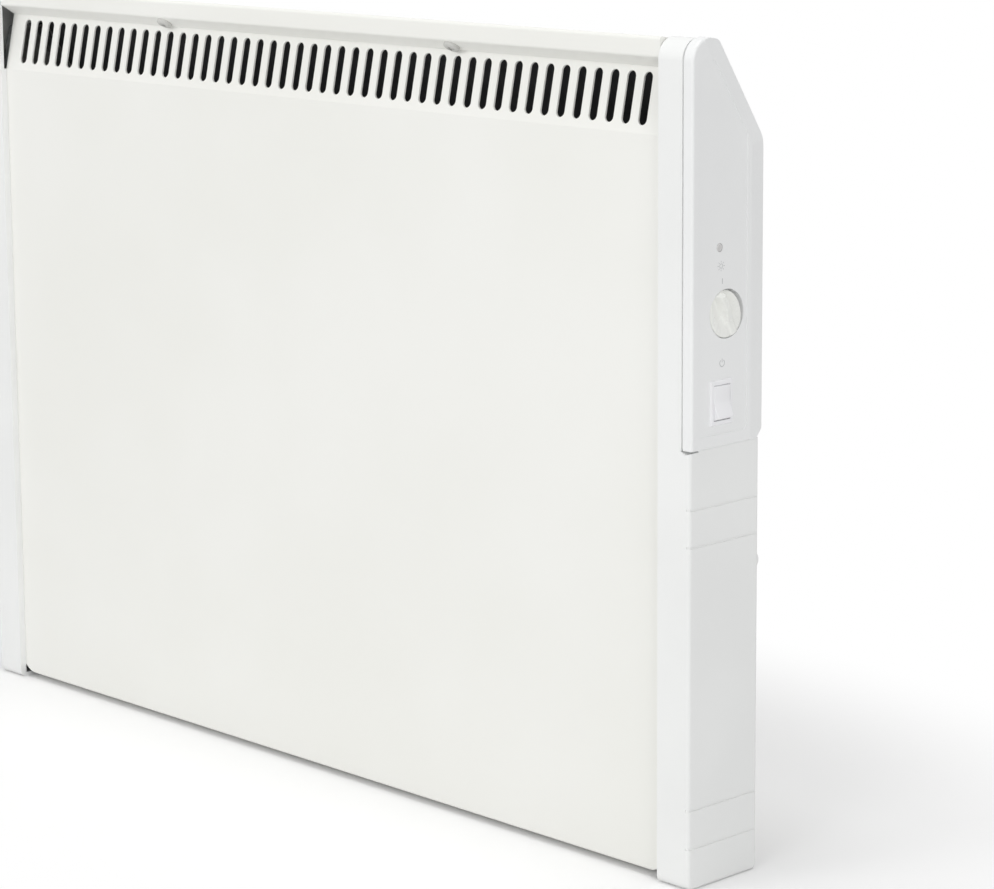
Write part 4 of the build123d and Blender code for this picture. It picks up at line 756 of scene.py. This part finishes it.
def printed(name, shapes, depth, height):
    """Strokes of ink on the housing's field, in millimetres about a depth and a height."""
    whole = joined(shapes, [Matrix()] * len(shapes))
    place = Matrix(((0, 0, MM, 0), (MM, 0, 0, 0), (0, MM, 0, 0), (0, 0, 0, 1)))
    place.translation = at(FIELD_FACE, depth, height)
    bmesh.ops.transform(whole, matrix=place, verts=whole.verts)
    finished(whole, name, "heater", mark_ink, smooth=0)


def ray(degrees):
    """A stroke that points away from the heat mark's ring."""
    angle = math.radians(degrees)
    middle = (RAY_PLACE * math.sin(angle), RAY_PLACE * math.cos(angle))
    return stroke(RAY_LENGTH, HEAT_WIDTH, middle, -degrees)


rays = [ray(degrees) for degrees in RAY_ANGLES]
printed("heat_mark", [arc(HEAT_RING, HEAT_WIDTH)] + rays, *HEAT_MARK)
printed("pointer_mark", [stroke(POINTER_LENGTH, POINTER_WIDTH)], *POINTER_MARK)
power = [
    arc(POWER_RING, POWER_WIDTH, POWER_START, POWER_SWEEP),
    stroke(POWER_BAR, POWER_WIDTH, POWER_BAR_PLACE),
]
printed("power_mark", power, *POWER_MARK)


# ---- stage ---------------------------------------------------------------------------------------

FLOOR_SIZE = 30
FLOOR_BOUNCE = 0.82  # the floor as it lights the heater
FLOOR_NEAR = 0.94  # and as the camera sees it near the heater
FLOOR_LIFT = 0.02  # light added to its shadow
SHADOW_SPREAD = (0.60, 0.32)  # metres along and behind the heater to where the floor is white
SHADOW_EDGE = (0.42, 0.95)  # parts of that spread over which it gets white
AMBIENT = 0.50
LAMP_SIZE = 1.4
LAMP_TARGET = Vector((0, 0, 0))
LAMPS = (  # name, place, watts
    ("front_left", (-0.9, -2.9, 1.0), 18.5),
    ("front_right", (0.9, -2.7, 1.5), 10),
    ("end", (2.8, -1.1, 1.2), 18),
    ("above", (0, -0.2, 3.2), 31),
)


def floor_finish():
    """White floor with the heater's rendered shadow, faded into plain white further off by a
    painted ellipse.
    """
    finish = Finish("floor_white", specular=0.0)
    finish.shader.inputs["Base Color"].default_value = grey(FLOOR_BOUNCE)
    finish.shader.inputs["Roughness"].default_value = 1.0
    near = finish.node("ShaderNodeBsdfDiffuse")
    near.inputs["Color"].default_value = grey(FLOOR_NEAR)
    lift = finish.node("ShaderNodeEmission")
    lift.inputs["Color"].default_value = grey(FLOOR_LIFT)
    lifted = finish.node("ShaderNodeAddShader")
    finish.join(near.outputs[0], lifted.inputs[0])
    finish.join(lift.outputs[0], lifted.inputs[1])
    white = finish.node("ShaderNodeEmission")
    # Painted shade: this ellipse, not the lamps, sets how the heater's shadow pales into white away
    # from it.
    ellipse = finish.node("ShaderNodeMapping")
    ellipse.inputs["Scale"].default_value = (1 / SHADOW_SPREAD[0], 1 / SHADOW_SPREAD[1], 0)
    finish.join(finish.place, ellipse.inputs["Vector"])
    spread = finish.node("ShaderNodeVectorMath", operation="LENGTH")
    finish.join(ellipse.outputs["Vector"], spread.inputs[0])
    seen = finish.node("ShaderNodeMixShader")
    finish.join(finish.ramp(spread.outputs["Value"], 0, 1, *SHADOW_EDGE), seen.inputs[0])
    finish.join(lifted.outputs[0], seen.inputs[1])
    finish.join(white.outputs[0], seen.inputs[2])
    path = finish.node("ShaderNodeLightPath")
    mix = finish.node("ShaderNodeMixShader")
    finish.join(path.outputs["Is Camera Ray"], mix.inputs[0])
    finish.join(finish.shader.outputs[0], mix.inputs[1])
    finish.join(seen.outputs[0], mix.inputs[2])
    finish.join(mix.outputs[0], finish.tree.nodes["Material Output"].inputs["Surface"])
    return finish.material


def studio_world():
    """Even light on the heater, and white where the camera or a reflection looks past it."""
    world = bpy.data.worlds.new("studio")
    world.use_nodes = True
    nodes, links = world.node_tree.nodes, world.node_tree.links
    path = nodes.new("ShaderNodeLightPath")
    seen = nodes.new("ShaderNodeMath")
    seen.operation = "MAXIMUM"
    mirrored = nodes.new("ShaderNodeMath")
    mirrored.operation = "MAXIMUM"
    shade = nodes.new("ShaderNodeMix")
    shade.data_type = "RGBA"
    shade.inputs["A"].default_value = grey(AMBIENT)
    shade.inputs["B"].default_value = grey(1)
    links.new(path.outputs["Is Camera Ray"], seen.inputs[0])
    links.new(path.outputs["Is Transmission Ray"], mirrored.inputs[0])
    links.new(path.outputs["Is Glossy Ray"], mirrored.inputs[1])
    links.new(mirrored.outputs[0], seen.inputs[1])
    links.new(seen.outputs[0], shade.inputs["Factor"])
    links.new(shade.outputs["Result"], nodes["Background"].inputs["Color"])
    return world


ground = bmesh.new()
bmesh.ops.create_grid(ground, x_segments=1, y_segments=1, size=FLOOR_SIZE)
bmesh.ops.translate(ground, vec=(0, 0, Z_FOOT), verts=ground.verts)
ground_mesh = bpy.data.meshes.new("floor")
ground.to_mesh(ground_mesh)
ground.free()
ground_mesh.materials.append(floor_finish())
floor = bpy.data.objects.new("floor", ground_mesh)
scene.collection.objects.link(floor)

scene.world = studio_world()

for name, place, watts in LAMPS:
    lamp = bpy.data.objects.new(name, bpy.data.lights.new(name, "AREA"))
    lamp.data.shape = "DISK"
    lamp.data.size = LAMP_SIZE
    lamp.data.energy = watts
    lamp.location = place
    lamp.rotation_mode = "QUATERNION"
    lamp.rotation_quaternion = (LAMP_TARGET - Vector(place)).to_track_quat("-Z", "Y")
    scene.collection.objects.link(lamp)
